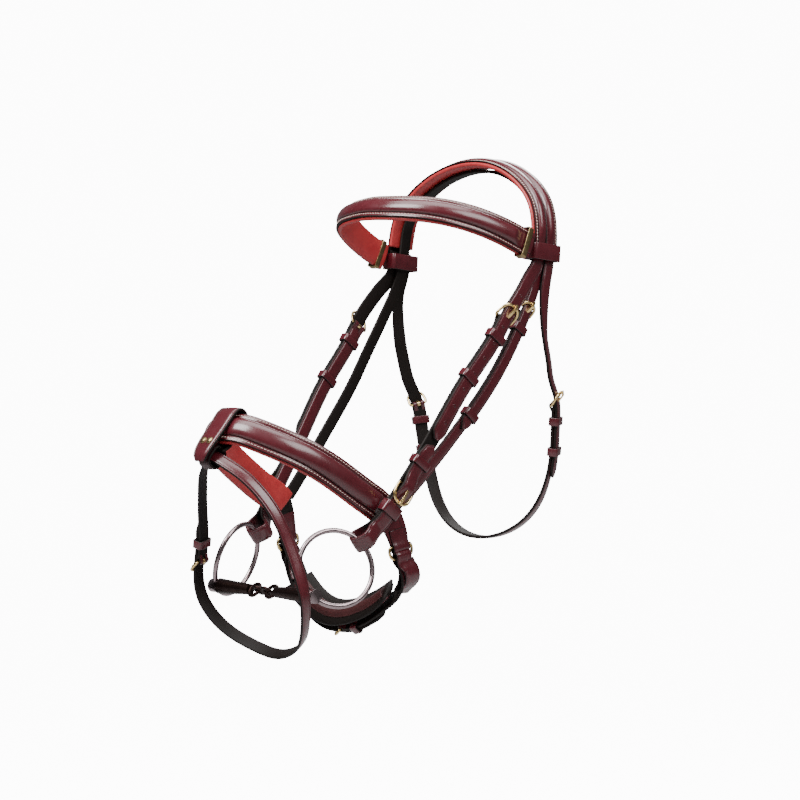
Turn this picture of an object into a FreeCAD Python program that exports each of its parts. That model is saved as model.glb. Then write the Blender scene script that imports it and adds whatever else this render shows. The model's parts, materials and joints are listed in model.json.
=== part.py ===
import FreeCAD, Part
import math
import os

import Sketcher
from FreeCAD import Placement, Rotation, Vector

# A full-size snaffle bridle with a crank noseband, a flash strap and a loose-ring bit.
# +X is the horse's left, -Y is forward and +Z is up. The origin is the middle of the
# underside of the headpiece padding, where the bridle hangs on the poll.
# Straps are laid out in head axes: w across the head, s down the face, v out of the forehead.

# Driving dimensions in mm and degrees: alias -> value.
DIMENSIONS = {
    "head_pitch": 51,
    "head_back": 13,
    "head_drop": 90,
    "headpiece_width": 34,
    "tail_width": 30,
    "browband_width": 26,
    "noseband_width": 30,
    "cheek_width": 16,
    "sliphead_width": 13,
    "throat_width": 13,
    "flash_width": 12,
    "chin_width": 20,
    "chin_pad_width": 30,
    "leather": 3,
    "raised_leather": 4,
    "padding": 4,
    "padding_rim": 1,
    "layer_gap": 0.5,
    "side_gap": 0.75,
    "keeper_wall": 1.6,
    "keeper_length": 8,
    "cheek_loop_length": 12,
    "browband_loop_length": 16,
    "clip_wall": 1.2,
    "clip_length": 6,
    "tab_wall": 2.4,
    "tab_length": 26,
    "tab_slot_length": 16,
    "wire": 3,
    "bar_depth": 2.6,
    "cheek_buckle_reach": 17,
    "strap_buckle_reach": 14,
    "tongue_width": 2.4,
    "tongue_thick": 2,
    "hub_radius": 2.6,
    "hub_bore": 1.7,
    "dee_reach": 12,
    "ring_radius": 35,
    "ring_wire": 2.5,
    "ring_flare": 26,
    "ring_hole": 3.2,
    "barrel_radius": 6.5,
    "barrel_length": 12,
    "cannon_thick": 7.5,
    "cannon_thin": 5,
    "cannon_eye": 6.5,
    "cannon_eye_wire": 1.75,
    "link_eye": 5.2,
    "link_eye_wire": 1.6,
    "rivet_radius": 2.6,
    "rivet_height": 1.4,
}

document = FreeCAD.newDocument("snaffle_bridle")
sheet = document.addObject("Spreadsheet::Sheet", "dims")
for row, (alias, value) in enumerate(DIMENSIONS.items(), start=1):
    sheet.set(f"A{row}", alias)
    sheet.set(f"B{row}", str(value))
    sheet.setAlias(f"B{row}", alias)
document.recompute()

nodes = []


def dim(alias):
    """The value of one driving dimension."""
    return float(sheet.get(alias))


def node(item, label):
    """Names a document object as one exported piece."""
    item.Label = label
    nodes.append(item)
    return item


# Head axes

PITCH = math.radians(dim("head_pitch"))
ACROSS = Vector(1, 0, 0)
DOWN = Vector(0, -math.cos(PITCH), -math.sin(PITCH))
DORSAL = Vector(0, -math.sin(PITCH), math.cos(PITCH))
FORWARD = Vector(0, -1, 0)
TEMPLE = Vector(0, -dim("head_back"), -dim("head_drop"))
SIDES = {"left": 1, "right": -1}


def head(w, s, v):
    """The world position of head coordinates."""
    return TEMPLE + ACROSS * w + DOWN * s + DORSAL * v


def mirrored(vector):
    return Vector(-vector.x, vector.y, vector.z)


def both_sides(half):
    """Continues a list of points on the left, ending on the middle plane, over to the right."""
    return half + [mirrored(point) for point in reversed(half[:-1])]


class Line:
    """A smooth line for a strap, with the direction of the strap's width along it."""

    def __init__(self, points, widthwise, outward):
        curve = Part.BSplineCurve()
        curve.interpolate(points)
        self.points = points
        self.edge = curve.toShape()
        self.length = self.edge.Length
        self.widthwise = widthwise
        along = self.edge.tangentAt(self.edge.FirstParameter)
        self.turn = 1 if along.cross(widthwise[0]).dot(outward) > 0 else -1

    def frame(self, distance):
        """Centre, direction along, direction of the width and outward normal."""
        distance = min(max(distance, 0.0), self.length)
        parameter = self.edge.getParameterByLength(distance)
        along = self.edge.tangentAt(parameter)
        place = distance / self.length * (len(self.widthwise) - 1)
        index = min(int(place), len(self.widthwise) - 2)
        share = place - index
        reference = self.widthwise[index] * (1 - share) + self.widthwise[index + 1] * share
        outward = (along.cross(reference) * self.turn).normalize()
        return self.edge.valueAt(parameter), along, outward.cross(along), outward

    def point(self, distance, depth=0.0, shift=0.0):
        """A point off the line: depth outward and shift along the width."""
        centre, _, width, outward = self.frame(distance)
        return centre + outward * depth + width * shift

    def mirror(self):
        flipped = [mirrored(point) for point in self.points]
        return Line(flipped, [mirrored(one) for one in self.widthwise], self.mirror_outward())

    def mirror_outward(self):
        return mirrored(self.frame(0)[3])

    def placement(self, distance, depth=0.0, reverse=False, tilt=0.0):
        """Local X along the width, Y along the line (or back along it) and Z outward."""
        centre, along, _, outward = self.frame(distance)
        if reverse:
            along = along * -1
        turned = Rotation(along.cross(outward), along, outward, "ZYX")
        return Placement(centre + outward * depth, turned * Rotation(Vector(1, 0, 0), tilt))


# Straps: a rectangular section carried along a line


def strap_solid(line, widths, thick, depth=0.0, start=0.0, end=None, tip=False, step=9.0):
    """A strap whose width goes through widths, with an optional tapered tip at its end."""
    taper = [(9.0, 1.0), (6.0, 0.9), (3.0, 0.72), (1.0, 0.46), (0.0, 0.3)]
    end = line.length if end is None else end
    full = end - taper[0][0] if tip else end
    count = max(4, math.ceil((full - start) / step))
    stations = [(start + (full - start) * i / count, 1.0) for i in range(count + 1)]
    if tip:
        stations += [(end - back, share) for back, share in taper[1:]]
    corners = [(1, 1), (1, -1), (-1, -1), (-1, 1)]
    rows = [[] for _ in corners]
    for distance, share in stations:
        place = (distance - start) / (end - start) * (len(widths) - 1)
        index = min(int(place), len(widths) - 2) if len(widths) > 1 else 0
        near, far = widths[index], widths[min(index + 1, len(widths) - 1)]
        half = share * (near + (far - near) * (place - index)) / 2
        for corner_row, (side, face) in zip(rows, corners):
            corner_row.append(line.point(distance, depth + face * thick / 2, side * half))
    parameters = [distance - start for distance, _ in stations]
    curves = []
    for corner_row in rows:
        curve = Part.BSplineCurve()
        curve.interpolate(Points=corner_row, Parameters=parameters)
        curves.append(curve)
    faces = []
    for index, curve in enumerate(curves):
        following = curves[(index + 1) % len(curves)]
        side = Part.BSplineSurface()
        side.buildFromPolesMultsKnots(
            [curve.getPoles(), following.getPoles()], [2, 2], curve.getMultiplicities(),
            [0, 1], curve.getKnots(), False, False, 1, curve.Degree)
        faces.append(side.toShape())
    for station in (0, -1):
        outline = [corner_row[station] for corner_row in rows]
        faces.append(Part.Face(Part.makePolygon(outline + outline[:1])))
    solid = Part.makeSolid(Part.makeShell(faces))
    return solid if solid.Volume > 0 else solid.reversed()


def strap(label, *shape_details, slot=None, **more):
    """A strap as a document object; slot is the tool that cuts its tongue hole."""
    solid = strap_solid(*shape_details, **more)
    if slot is not None:
        solid = solid.cut(slot)
    item = document.addObject("Part::Feature", label)
    item.Shape = solid
    return node(item, label)


# Metal and leather loops: sketched outlines that are padded


def sketch_on(body, name, plane):
    """A sketch on one of the body's own origin planes."""
    sketch = body.newObject("Sketcher::SketchObject", name)
    support = [one for one in body.Origin.OriginFeatures if one.Role == plane][0]
    sketch.AttachmentSupport = [(support, "")]
    sketch.MapMode = "FlatFace"
    return sketch


def rounded_outline(sketch, tag, sizes, radius, base):
    """A rounded rectangle centred on the vertical axis, driven by expressions.

    sizes and base hold (value, expression) for the width, the height and the lower side.
    """
    (width, width_rule), (height, height_rule) = sizes
    base_value, base_rule = base
    half = width / 2
    low, high = base_value, base_value + height
    first = sketch.GeometryCount
    centres = [(half - radius, low + radius), (half - radius, high - radius),
               (radius - half, high - radius), (radius - half, low + radius)]
    up = Vector(0, 0, 1)
    lines = [((radius - half, low), (half - radius, low)), ((half, low + radius), (half, high - radius)),
             ((half - radius, high), (radius - half, high)), ((-half, high - radius), (-half, low + radius))]
    for index in range(4):
        begin, finish = (Vector(x, y, 0) for x, y in lines[index])
        sketch.addGeometry(Part.LineSegment(begin, finish), False)
        circle = Part.Circle(Vector(*centres[index], 0), up, radius)
        angle = (index - 1) * math.pi / 2
        sketch.addGeometry(Part.ArcOfCircle(circle, angle, angle + math.pi / 2), False)
    ring = [first + index for index in range(8)]
    for index in range(4):
        side, corner, following = ring[2 * index], ring[2 * index + 1], ring[(2 * index + 2) % 8]
        sketch.addConstraint(Sketcher.Constraint("Tangent", side, 2, corner, 1))
        sketch.addConstraint(Sketcher.Constraint("Tangent", corner, 2, following, 1))
        if index > 0:
            level = "Horizontal" if index % 2 == 0 else "Vertical"
            sketch.addConstraint(Sketcher.Constraint(level, side))
    for corner in ring[3::2]:
        sketch.addConstraint(Sketcher.Constraint("Equal", ring[1], corner))
    sketch.addConstraint(Sketcher.Constraint("Radius", ring[1], radius))
    sketch.addConstraint(Sketcher.Constraint("Symmetric", ring[0], 1, ring[0], 2, -2))
    driven = [
        ("width", Sketcher.Constraint("DistanceX", ring[6], 1, ring[2], 1, width), width_rule),
        ("height", Sketcher.Constraint("DistanceY", ring[0], 1, ring[4], 1, height), height_rule),
        ("base", Sketcher.Constraint("DistanceY", -1, 1, ring[0], 1, base_value), base_rule),
    ]
    for name, constraint, rule in driven:
        position = sketch.addConstraint(constraint)
        sketch.renameConstraint(position, f"{tag}_{name}")
        sketch.setExpression(f"Constraints.{tag}_{name}", rule)


def looped_body(label, inner, outer, plane, thick_rule, placement, fillet=0.0):
    """A closed loop: the space between two rounded outlines, padded both ways."""
    body = document.addObject("PartDesign::Body", label)
    sketch = sketch_on(body, f"{label}_outline", plane)
    for tag, outline in (("outer", outer), ("inner", inner)):
        rounded_outline(sketch, tag, *outline)
    document.recompute()
    pad = body.newObject("PartDesign::Pad", f"{label}_pad")
    pad.Profile = sketch
    pad.SideType = "Symmetric"
    pad.setExpression("Length", thick_rule)
    document.recompute()
    if fillet:
        rounded = body.newObject("PartDesign::Fillet", f"{label}_fillet")
        rounded.Base = (pad, rim_edges(pad.Shape, plane))
        rounded.Radius = fillet
    body.Placement = placement
    return body


def rim_edges(shape, plane):
    """The edges around the two flat ends of a pad made on the given plane."""
    axis = {"XY_Plane": Vector(0, 0, 1), "XZ_Plane": Vector(0, 1, 0)}[plane]
    names = []
    for number, edge in enumerate(shape.Edges, start=1):
        ends = [vertex.Point.dot(axis) for vertex in edge.Vertexes]
        if max(ends) - min(ends) < 1e-6:
            names.append(f"Edge{number}")
    return names


def value_of(rule):
    """The present value of an expression made of driving dimensions."""
    return float(sheet.evalExpression(rule))


def sized(rule):
    return value_of(rule), rule


def end_rise(bar_depth):
    """How far a buckle's far end stands above its bar, to clear the billet between them."""
    return dim("leather") + 2.0 * dim("layer_gap") + dim("wire") / 2 - bar_depth


def buckle_body(label, width_rule, reach_rule, line, bar_at, reverse=True, bar_depth=None):
    """A wire buckle round a strap: its bar lies under the billet, its far end over it."""
    bar_depth = -dim("bar_depth") if bar_depth is None else bar_depth
    inner_width = f"{width_rule} + 2 * dims.side_gap"
    tilt = math.degrees(math.asin(end_rise(bar_depth) / value_of(reach_rule)))
    inner_radius = 3.0
    body = looped_body(
        label,
        ((sized(inner_width), sized(f"{reach_rule} - dims.wire")), inner_radius, sized("dims.wire / 2")),
        ((sized(f"{inner_width} + 2 * dims.wire"), sized(f"{reach_rule} + dims.wire")),
         inner_radius + dim("wire"), sized("-dims.wire / 2")),
        "XY_Plane",
        "dims.wire",
        line.placement(bar_at, bar_depth, reverse, tilt),
        fillet=dim("wire") * 0.45,
    )
    return node(body, label)


def tongue_body(label, reach_rule, line, bar_at, reverse=True, bar_depth=None, crest=6.1):
    """A buckle tongue: a hub on the bar, a rise through the billet's hole and a long finger."""
    bar_depth = -dim("bar_depth") if bar_depth is None else bar_depth
    thick = dim("tongue_thick")
    rise = end_rise(bar_depth)
    far = math.sqrt(value_of(reach_rule) ** 2 - rise**2) + 2.0
    rest = rise + dim("wire") / 2 + dim("layer_gap") / 2
    hub = dim("hub_radius") - thick / 2
    body = document.addObject("PartDesign::Body", label)
    finger = sketch_on(body, f"{label}_side", "YZ_Plane")
    outline = [(0.2, hub - 0.6), (1.8, 0.4), (5.2, crest), (far - 4.5, rest), (far, rest),
               (far, rest + thick), (far - 5.0, rest + thick), (3.4, crest + thick * 0.7)]
    for index, start in enumerate(outline):
        stop = outline[(index + 1) % len(outline)]
        finger.addGeometry(Part.LineSegment(Vector(*start, 0), Vector(*stop, 0)), False)
    for index in range(len(outline)):
        following = (index + 1) % len(outline)
        finger.addConstraint(Sketcher.Constraint("Coincident", index, 2, following, 1))
    document.recompute()
    arm = body.newObject("PartDesign::Pad", f"{label}_arm")
    arm.Profile = finger
    arm.SideType = "Symmetric"
    arm.setExpression("Length", "dims.tongue_width")
    document.recompute()
    hub_steps = (
        ("hub", "PartDesign::Pad", "hub_radius", "dims.tongue_width * 1.25"),
        ("bore", "PartDesign::Pocket", "hub_bore", "dims.tongue_width * 3"),
    )
    for name, kind, alias, length_rule in hub_steps:
        circle = sketch_on(body, f"{label}_{name}_circle", "YZ_Plane")
        circle.addGeometry(Part.Circle(Vector(0, 0, 0), Vector(0, 0, 1), dim(alias)), False)
        circle.addConstraint(Sketcher.Constraint("Coincident", 0, 3, -1, 1))
        circle.addConstraint(Sketcher.Constraint("Radius", 0, dim(alias)))
        circle.renameConstraint(1, "radius")
        circle.setExpression("Constraints.radius", f"dims.{alias}")
        document.recompute()
        feature = body.newObject(kind, f"{label}_{name}")
        feature.Profile = circle
        feature.SideType = "Symmetric"
        feature.setExpression("Length", length_rule)
        document.recompute()
    body.Placement = line.placement(bar_at, bar_depth, reverse)
    return node(body, label)


def tongue_slot(line, bar_at, reverse=True, bar_depth=None):
    """The oblong hole in a billet that a buckle tongue passes through."""
    bar_depth = -dim("bar_depth") if bar_depth is None else bar_depth
    length, width, height = 10.6, dim("tongue_width") + 1.0, 12.0
    box = Part.makeBox(width, length, height, Vector(-width / 2, -2.6, 0))
    box.Placement = line.placement(bar_at, bar_depth, reverse) * box.Placement
    return box


def keeper_body(label, width_rule, line, distance, length_rule="dims.keeper_length"):
    """A leather keeper round two layers of strap."""
    wall_rule = "dims.keeper_wall"
    inner_width = f"{width_rule} + 2 * dims.side_gap"
    inner_height = "2 * dims.leather + 3 * dims.layer_gap"
    corner = 1.0
    return looped_body(
        label,
        ((sized(inner_width), sized(inner_height)), corner, sized(f"-({inner_height}) / 2")),
        ((sized(f"{inner_width} + 2 * {wall_rule}"), sized(f"{inner_height} + 2 * {wall_rule}")),
         corner + value_of(wall_rule), sized(f"-({inner_height}) / 2 - {wall_rule}")),
        "XZ_Plane",
        length_rule,
        line.placement(distance),
    )


def group(label, members):
    """Several like pieces that share one node."""
    compound = document.addObject("Part::Compound", label)
    compound.Links = members
    return node(compound, label)


LEATHER = dim("leather")
LAYER = (LEATHER + dim("layer_gap")) / 2
BAR_CLEAR = 3.2
BIT_BAR_DEPTH = 2.6

# Headpiece: raised leather over red padding, 34 mm at the poll and 30 mm at the temples

crown_line = Line(
    both_sides([head(108, 5, -4), head(108, -5, 3), head(106.5, -21, 14), head(101, -38, 26),
                head(88, -53, 35), head(64, -69, 43.5), head(34, -80, 49), head(0, -84, 51)]),
    [FORWARD, FORWARD],
    ACROSS,
)
CROWN_WIDTHS = [dim("tail_width"), dim("tail_width"), dim("headpiece_width"), dim("headpiece_width"),
                dim("headpiece_width"), dim("tail_width"), dim("tail_width")]
PADDING_INSET = 22.0
strap("headpiece", crown_line, CROWN_WIDTHS, LEATHER)
padding_depth = -(LEATHER + dim("padding")) / 2 - dim("layer_gap")
strap("headpiece_padding", crown_line, [width + 2 * dim("padding_rim") for width in CROWN_WIDTHS],
      dim("padding"), depth=padding_depth, start=PADDING_INSET, end=crown_line.length - PADDING_INSET)

# Browband: raised leather over red padding, with a brass clip and a leather loop at each end

brow_line = Line(
    both_sides([head(109, 9.5, 18.5), head(106.5, 17, 44.8), head(94, 27.1, 78), head(72, 37.6, 105.4),
                head(42, 46.7, 123.3), head(20, 50, 129.4), head(0, 50.6, 131.4)]),
    [DOWN, DOWN],
    ACROSS,
)
RAISED = dim("raised_leather")
raised_padding_depth = -(RAISED + dim("padding")) / 2 - dim("layer_gap")
strap("browband", brow_line, [dim("browband_width")], RAISED)
strap("browband_padding", brow_line, [dim("browband_width") + 2 * dim("padding_rim")], dim("padding"),
      depth=raised_padding_depth, start=1.0, end=brow_line.length - 1.0)

clips = []
brow_loops = []
for side, sign in SIDES.items():
    inner = "dims.browband_width + 2 * dims.padding_rim + dims.side_gap"
    layers = "dims.raised_leather + dims.padding + 3 * dims.layer_gap"
    foot = "-(dims.raised_leather / 2 + dims.padding + 2 * dims.layer_gap)"
    at = 9.0 if sign > 0 else brow_line.length - 9.0
    clips.append(looped_body(
        f"browband_clip_{side}",
        ((sized(inner), sized(layers)), 1.0, sized(foot)),
        ((sized(f"{inner} + 2 * dims.clip_wall"), sized(f"{layers} + 2 * dims.clip_wall")), 2.2,
         sized(f"{foot} - dims.clip_wall")),
        "XZ_Plane", "dims.clip_length", brow_line.placement(at)))
    inner = "dims.tail_width + 4 * dims.side_gap"
    layers = "3 * dims.leather + dims.padding + 5 * dims.layer_gap"
    foot = "-(2.5 * dims.leather + dims.padding + 3 * dims.layer_gap)"
    at = 6.0 if sign > 0 else crown_line.length - 6.0
    brow_loops.append(looped_body(
        f"browband_loop_{side}",
        ((sized(inner), sized(layers)), 2.0, sized(foot)),
        ((sized(f"{inner} + 2 * dims.keeper_wall"), sized(f"{layers} + 2 * dims.keeper_wall")), 3.6,
         sized(f"{foot} - dims.keeper_wall")),
        "XZ_Plane", "dims.browband_loop_length", crown_line.placement(at)))
group("browband_clips", clips)
group("browband_loops", brow_loops)

# Cheekpieces: a billet from the headpiece, a buckle, a strap that wraps the bit ring and
# comes back up through a second buckle

FLARE = math.radians(dim("ring_flare"))
RING_NORMAL = ACROSS * math.cos(FLARE) + DORSAL * math.sin(FLARE)
RING_FRONT = DORSAL * math.cos(FLARE) - ACROSS * math.sin(FLARE)
RING_CENTRE = head(73.5, 379.2, -1.8)

cheek_left = Line(
    [head(107.6, 56, 1.4), head(107.4, 80, 1.8), head(106.3, 108, -0.6), head(103.4, 158, 0),
     head(98, 226, -5), head(90.8, 292, -9), head(87.8, 311, -10), head(84.8, 326, -10.6)],
    [DORSAL, DORSAL],
    ACROSS,
)
LOOP_TURN = math.radians(10)
LOOP_BOTTOM = 266.0
LOOP_TWIST = 32.0
CHEEK_BAR = 32.0
BIT_BAR = 226.0
CHEEK_TIP = 172.0
RETURN_TIP = 178.0
# The two layers part this far above the end of the cheek line, to go round the ring wire.
WRAP_RUN = 8.0
# The outer layer humps over the lower buckle's bar.
HUMP_HEIGHT = 4.4
HUMP_LENGTH = 8.5


def ring_point(turn, radius):
    """A point at an angle forward from the top of the left bit ring."""
    return RING_CENTRE - DOWN * (radius * math.cos(turn)) - RING_FRONT * (radius * math.sin(turn))


def cheek_loop_points(line):
    """Down the inner side, round the ring wire and up the outer side."""
    radius = dim("ring_radius") - 0.45
    wire_centre = ring_point(LOOP_TURN, radius)
    radial = (wire_centre - RING_CENTRE).normalize()
    bend = dim("ring_wire") + 0.9 + LEATHER / 2
    bend_start = line.length - WRAP_RUN
    strap_start = CHEEK_BAR + BAR_CLEAR
    path = [line.point(strap_start + (bend_start - strap_start) * i / 12, -LAYER) for i in range(13)]
    for angle in (0, 45, 90, 135, 180):
        swing = math.radians(angle)
        across_wire = RING_NORMAL * (bend * math.cos(swing))
        path.append(wire_centre - across_wire - radial * (bend * math.sin(swing)))
    for i in range(19):
        distance = bend_start - (bend_start - RETURN_TIP) * i / 18
        over_bar = HUMP_HEIGHT * math.exp(-(((distance - BIT_BAR - 1) / HUMP_LENGTH) ** 2))
        path.append(line.point(distance, LAYER + over_bar))
    return path


cheek_keepers = []
noseband_loops = []
for side, sign in SIDES.items():
    cheek = cheek_left if sign > 0 else cheek_left.mirror()
    place = Vector if sign > 0 else mirrored
    front = [head(104.3, -5, 11), head(104.3, 5, 4.6), head(104.7, 15, -0.6), head(106.6, 32, 0.2)]
    billet_line = Line(
        [place(point) for point in front] + [cheek.point(CHEEK_TIP * i / 8, LAYER) for i in range(9)],
        [DORSAL, DORSAL], ACROSS * sign)
    strap(f"cheek_billet_{side}", billet_line, [dim("cheek_width")], LEATHER, tip=True,
          slot=tongue_slot(cheek, CHEEK_BAR))
    wrap = cheek_loop_points(cheek_left)
    wire_way = place(RING_FRONT * math.cos(LOOP_TURN) - DOWN * math.sin(LOOP_TURN))
    shares = [max(0.0, 1 - ((10.0 * i - LOOP_BOTTOM) / LOOP_TWIST) ** 2) for i in range(40)]
    widthwise = [DORSAL * (1 - share) + wire_way * share for share in shares]
    wrap_line = Line([place(point) for point in wrap], widthwise, ACROSS * sign)
    strap(f"cheekpiece_{side}", wrap_line, [dim("cheek_width")], LEATHER, tip=True, step=2.4,
          slot=tongue_slot(cheek, BIT_BAR, reverse=False, bar_depth=BIT_BAR_DEPTH))
    buckle_body(f"cheek_buckle_{side}", "dims.cheek_width", "dims.cheek_buckle_reach", cheek, CHEEK_BAR)
    tongue_body(f"cheek_tongue_{side}", "dims.cheek_buckle_reach", cheek, CHEEK_BAR)
    buckle_body(f"bit_buckle_{side}", "dims.cheek_width", "dims.cheek_buckle_reach", cheek, BIT_BAR,
                reverse=False, bar_depth=BIT_BAR_DEPTH)
    tongue_body(f"bit_tongue_{side}", "dims.cheek_buckle_reach", cheek, BIT_BAR,
                reverse=False, bar_depth=BIT_BAR_DEPTH, crest=4.8)
    cheek_keepers += [keeper_body(f"cheek_keeper_{name}_{side}", "dims.cheek_width", cheek, at)
                      for name, at in (("upper", 52.0), ("lower", 199.0))]
    node(keeper_body(f"cheek_slider_{side}", "dims.cheek_width", cheek, 102.0), f"cheek_slider_{side}")
    noseband_loops.append(keeper_body(f"noseband_loop_{side}", "dims.cheek_width", cheek, 251.5,
                                      "dims.cheek_loop_length"))
group("cheek_keepers", cheek_keepers)
group("noseband_loops", noseband_loops)

# Noseband hanger: runs from the right end of the noseband over the poll, under the headpiece,
# to a buckle on the short left strap

hanger_line = Line(
    [head(102, 46, -16), head(103.3, 80, -21.5), head(103, 109, -25), head(101.2, 137, -27.5),
     head(98.8, 165, -28), head(95.4, 200, -27), head(87, 262, -23.5), head(83.4, 288, -21)],
    [DORSAL, DORSAL],
    ACROSS,
)
HANGER_BAR = 18.0
HANGER_TIP = 152.0
under_depth = -1.5 * LEATHER - dim("padding") - 3 * dim("layer_gap")
over_poll = [crown_line.point(crown_line.length * share, under_depth)
             for share in (0.96, 0.86, 0.74, 0.62, 0.5, 0.38, 0.26, 0.14, 0.04)]
right_hanger = hanger_line.mirror()
up_right = [right_hanger.point(right_hanger.length * (1 - i / 8)) for i in range(9)]
down_left = [hanger_line.point(HANGER_TIP * i / 7, LAYER) for i in range(8)]
sliphead_line = Line(
    up_right + [head(-100.8, 16, -9)] + over_poll + [head(100.8, 16, -9)] + down_left,
    [DORSAL, DORSAL, FORWARD, FORWARD, FORWARD, DORSAL, DORSAL],
    ACROSS * -1,
)
strap("sliphead", sliphead_line, [dim("sliphead_width")], LEATHER, tip=True,
      slot=tongue_slot(hanger_line, HANGER_BAR))
strap("noseband_hanger", hanger_line, [dim("sliphead_width")], LEATHER, depth=-LAYER,
      start=HANGER_BAR + BAR_CLEAR)
buckle_body("sliphead_buckle", "dims.sliphead_width", "dims.strap_buckle_reach", hanger_line, HANGER_BAR)
tongue_body("sliphead_tongue", "dims.strap_buckle_reach", hanger_line, HANGER_BAR)
node(keeper_body("sliphead_keeper", "dims.sliphead_width", hanger_line, 34.0), "sliphead_keeper")
node(keeper_body("sliphead_slider", "dims.sliphead_width", hanger_line, 136.0), "sliphead_slider")

# Throatlatch: a billet from each rear half of the headpiece, and one strap under the throat

SKEW = math.radians(28)
REARWARD = Vector(math.sin(SKEW), -math.cos(SKEW), 0)
throat_line = Line(
    both_sides([head(103.2, 78, -72), head(101.4, 92, -93), head(100.2, 99, -108), head(97.6, 114, -124),
                head(93.6, 134, -143), head(86, 156, -161.5), head(76, 174, -174), head(56, 193, -185),
                head(28, 206, -190.5), head(0, 210, -192)]),
    [REARWARD, REARWARD, FORWARD, mirrored(REARWARD), mirrored(REARWARD)],
    ACROSS,
)
THROAT_BAR = 45.0
THROAT_JOIN = 2.0
THROAT_TIP = 118.0
throat_keepers = []
for side, sign in SIDES.items():
    throat = throat_line if sign > 0 else Line(list(reversed(throat_line.points)),
                                               list(reversed(throat_line.widthwise)), ACROSS * -1)
    place = Vector if sign > 0 else mirrored
    rear = [head(104.3, -13, -2), head(104.3, -3, -8.6), head(104.8, 7, -14), head(105.6, 18, -18.5),
            head(106, 32, -26), head(105.6, 48, -38.5), head(105, 65, -55.5)]
    billet_line = Line(
        [place(point) for point in rear]
        + [throat.point(THROAT_JOIN + (THROAT_TIP - THROAT_JOIN) * i / 7, LAYER) for i in range(8)],
        [FORWARD, FORWARD] + [place(REARWARD)] * 4, ACROSS * sign)
    strap(f"throat_billet_{side}", billet_line, [dim("throat_width")], LEATHER, tip=True,
          slot=tongue_slot(throat, THROAT_BAR))
    buckle_body(f"throat_buckle_{side}", "dims.throat_width", "dims.strap_buckle_reach", throat, THROAT_BAR)
    tongue_body(f"throat_tongue_{side}", "dims.strap_buckle_reach", throat, THROAT_BAR)
    throat_keepers.append(keeper_body(f"throat_keeper_{side}", "dims.throat_width", throat, 62.0))
    node(keeper_body(f"throat_slider_{side}", "dims.throat_width", throat, 92.0), f"throat_slider_{side}")
strap("throatlatch", throat_line, [dim("throat_width")], LEATHER, depth=-LAYER,
      start=THROAT_BAR + BAR_CLEAR, end=throat_line.length - THROAT_BAR - BAR_CLEAR)
group("throat_keepers", throat_keepers)

# Noseband: raised leather over red padding, ending in a dee on each side of the jaw

nose_line = Line(
    both_sides([head(82.5, 320, -43), head(80.6, 311, -30), head(77.6, 305, -14), head(76.7, 307, 11),
                head(75, 310, 37),
                head(65, 315, 80), head(38, 321, 118), head(20, 323, 131), head(0, 325, 135)]),
    [DOWN, DOWN],
    ACROSS,
)
NOSE_WIDTHS = [dim("chin_width") + 2, dim("noseband_width")] + [dim("noseband_width")] * 8
NOSE_WIDTHS += list(reversed(NOSE_WIDTHS[:2]))
strap("noseband", nose_line, NOSE_WIDTHS, RAISED)
strap("noseband_padding", nose_line, [dim("noseband_width") + 2 * dim("padding_rim")], dim("padding"),
      depth=raised_padding_depth, start=34.0, end=nose_line.length - 34.0)
DEE_GAP = 2.4
for side, sign in SIDES.items():
    end_line = nose_line
    if sign < 0:
        end_line = Line(list(reversed(nose_line.points)), [DOWN, DOWN], ACROSS * -1)
    inner = "dims.chin_width + 4 * dims.side_gap"
    at = end_line.placement(0.0, 0.0, reverse=True)
    shift = Placement(at.Rotation.multVec(Vector(0, DEE_GAP, 0)), Rotation())
    node(looped_body(
        f"chin_dee_{side}",
        ((sized(inner), sized("dims.dee_reach - dims.wire")), 3.0, sized("dims.wire / 2")),
        ((sized(f"{inner} + 2 * dims.wire"), sized("dims.dee_reach + dims.wire")), 5.0,
         sized("-dims.wire / 2")),
        "XY_Plane", "dims.wire", shift * at, fillet=dim("wire") * 0.45), f"chin_dee_{side}")

# Chin: two straps joined by a roller buckle under a padded chin rest

chin_line = Line(
    both_sides([head(85.2, 330, -59), head(84.5, 338, -71), head(77, 348, -79), head(64, 358, -84),
                head(48, 368.5, -88), head(28, 379, -91), head(0, 382, -92.5)]),
    [DOWN, DOWN],
    ACROSS,
)
CHIN_MIDDLE = chin_line.length / 2
CHIN_BAR = CHIN_MIDDLE - 8.0
CHIN_TIP = CHIN_BAR - 52.0
right_chin = Line(list(reversed(chin_line.points)), [DOWN, DOWN], ACROSS * -1)
RIGHT_BAR = right_chin.length - CHIN_BAR
strap("chin_strap_left", chin_line, [dim("chin_width")], LEATHER, depth=-LAYER, end=CHIN_BAR - BAR_CLEAR)
# The right strap changes from the inner to the outer layer between these distances.
CROSS_START = RIGHT_BAR - 45.0
CROSS_END = RIGHT_BAR - 22.0
outer_run = right_chin.length - CHIN_TIP - CROSS_END
right_points = [right_chin.point(i * CROSS_START / 4, -LAYER) for i in range(5)]
right_points += [right_chin.point(CROSS_END + i * outer_run / 6, LAYER) for i in range(7)]
strap("chin_strap_right", Line(right_points, [DOWN, DOWN], ACROSS * -1), [dim("chin_width")], LEATHER,
      tip=True, slot=tongue_slot(chin_line, CHIN_BAR, reverse=False))
buckle_body("chin_buckle", "(dims.chin_width + 1)", "dims.cheek_buckle_reach", chin_line, CHIN_BAR,
            reverse=False)
tongue_body("chin_tongue", "dims.cheek_buckle_reach", chin_line, CHIN_BAR, reverse=False)
node(keeper_body("chin_keeper", "dims.chin_width", chin_line, CHIN_BAR - 18.0), "chin_keeper")
pad_line = Line(
    both_sides([head(66, 353, -72), head(50, 363, -78), head(28, 373, -81.5), head(0, 378, -83)]),
    [DOWN, DOWN],
    ACROSS,
)
strap("chin_pad", pad_line, [dim("chin_pad_width")], dim("raised_leather"))

# Flash strap: through a tab on the noseband, round the muzzle, buckled on the right

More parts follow.
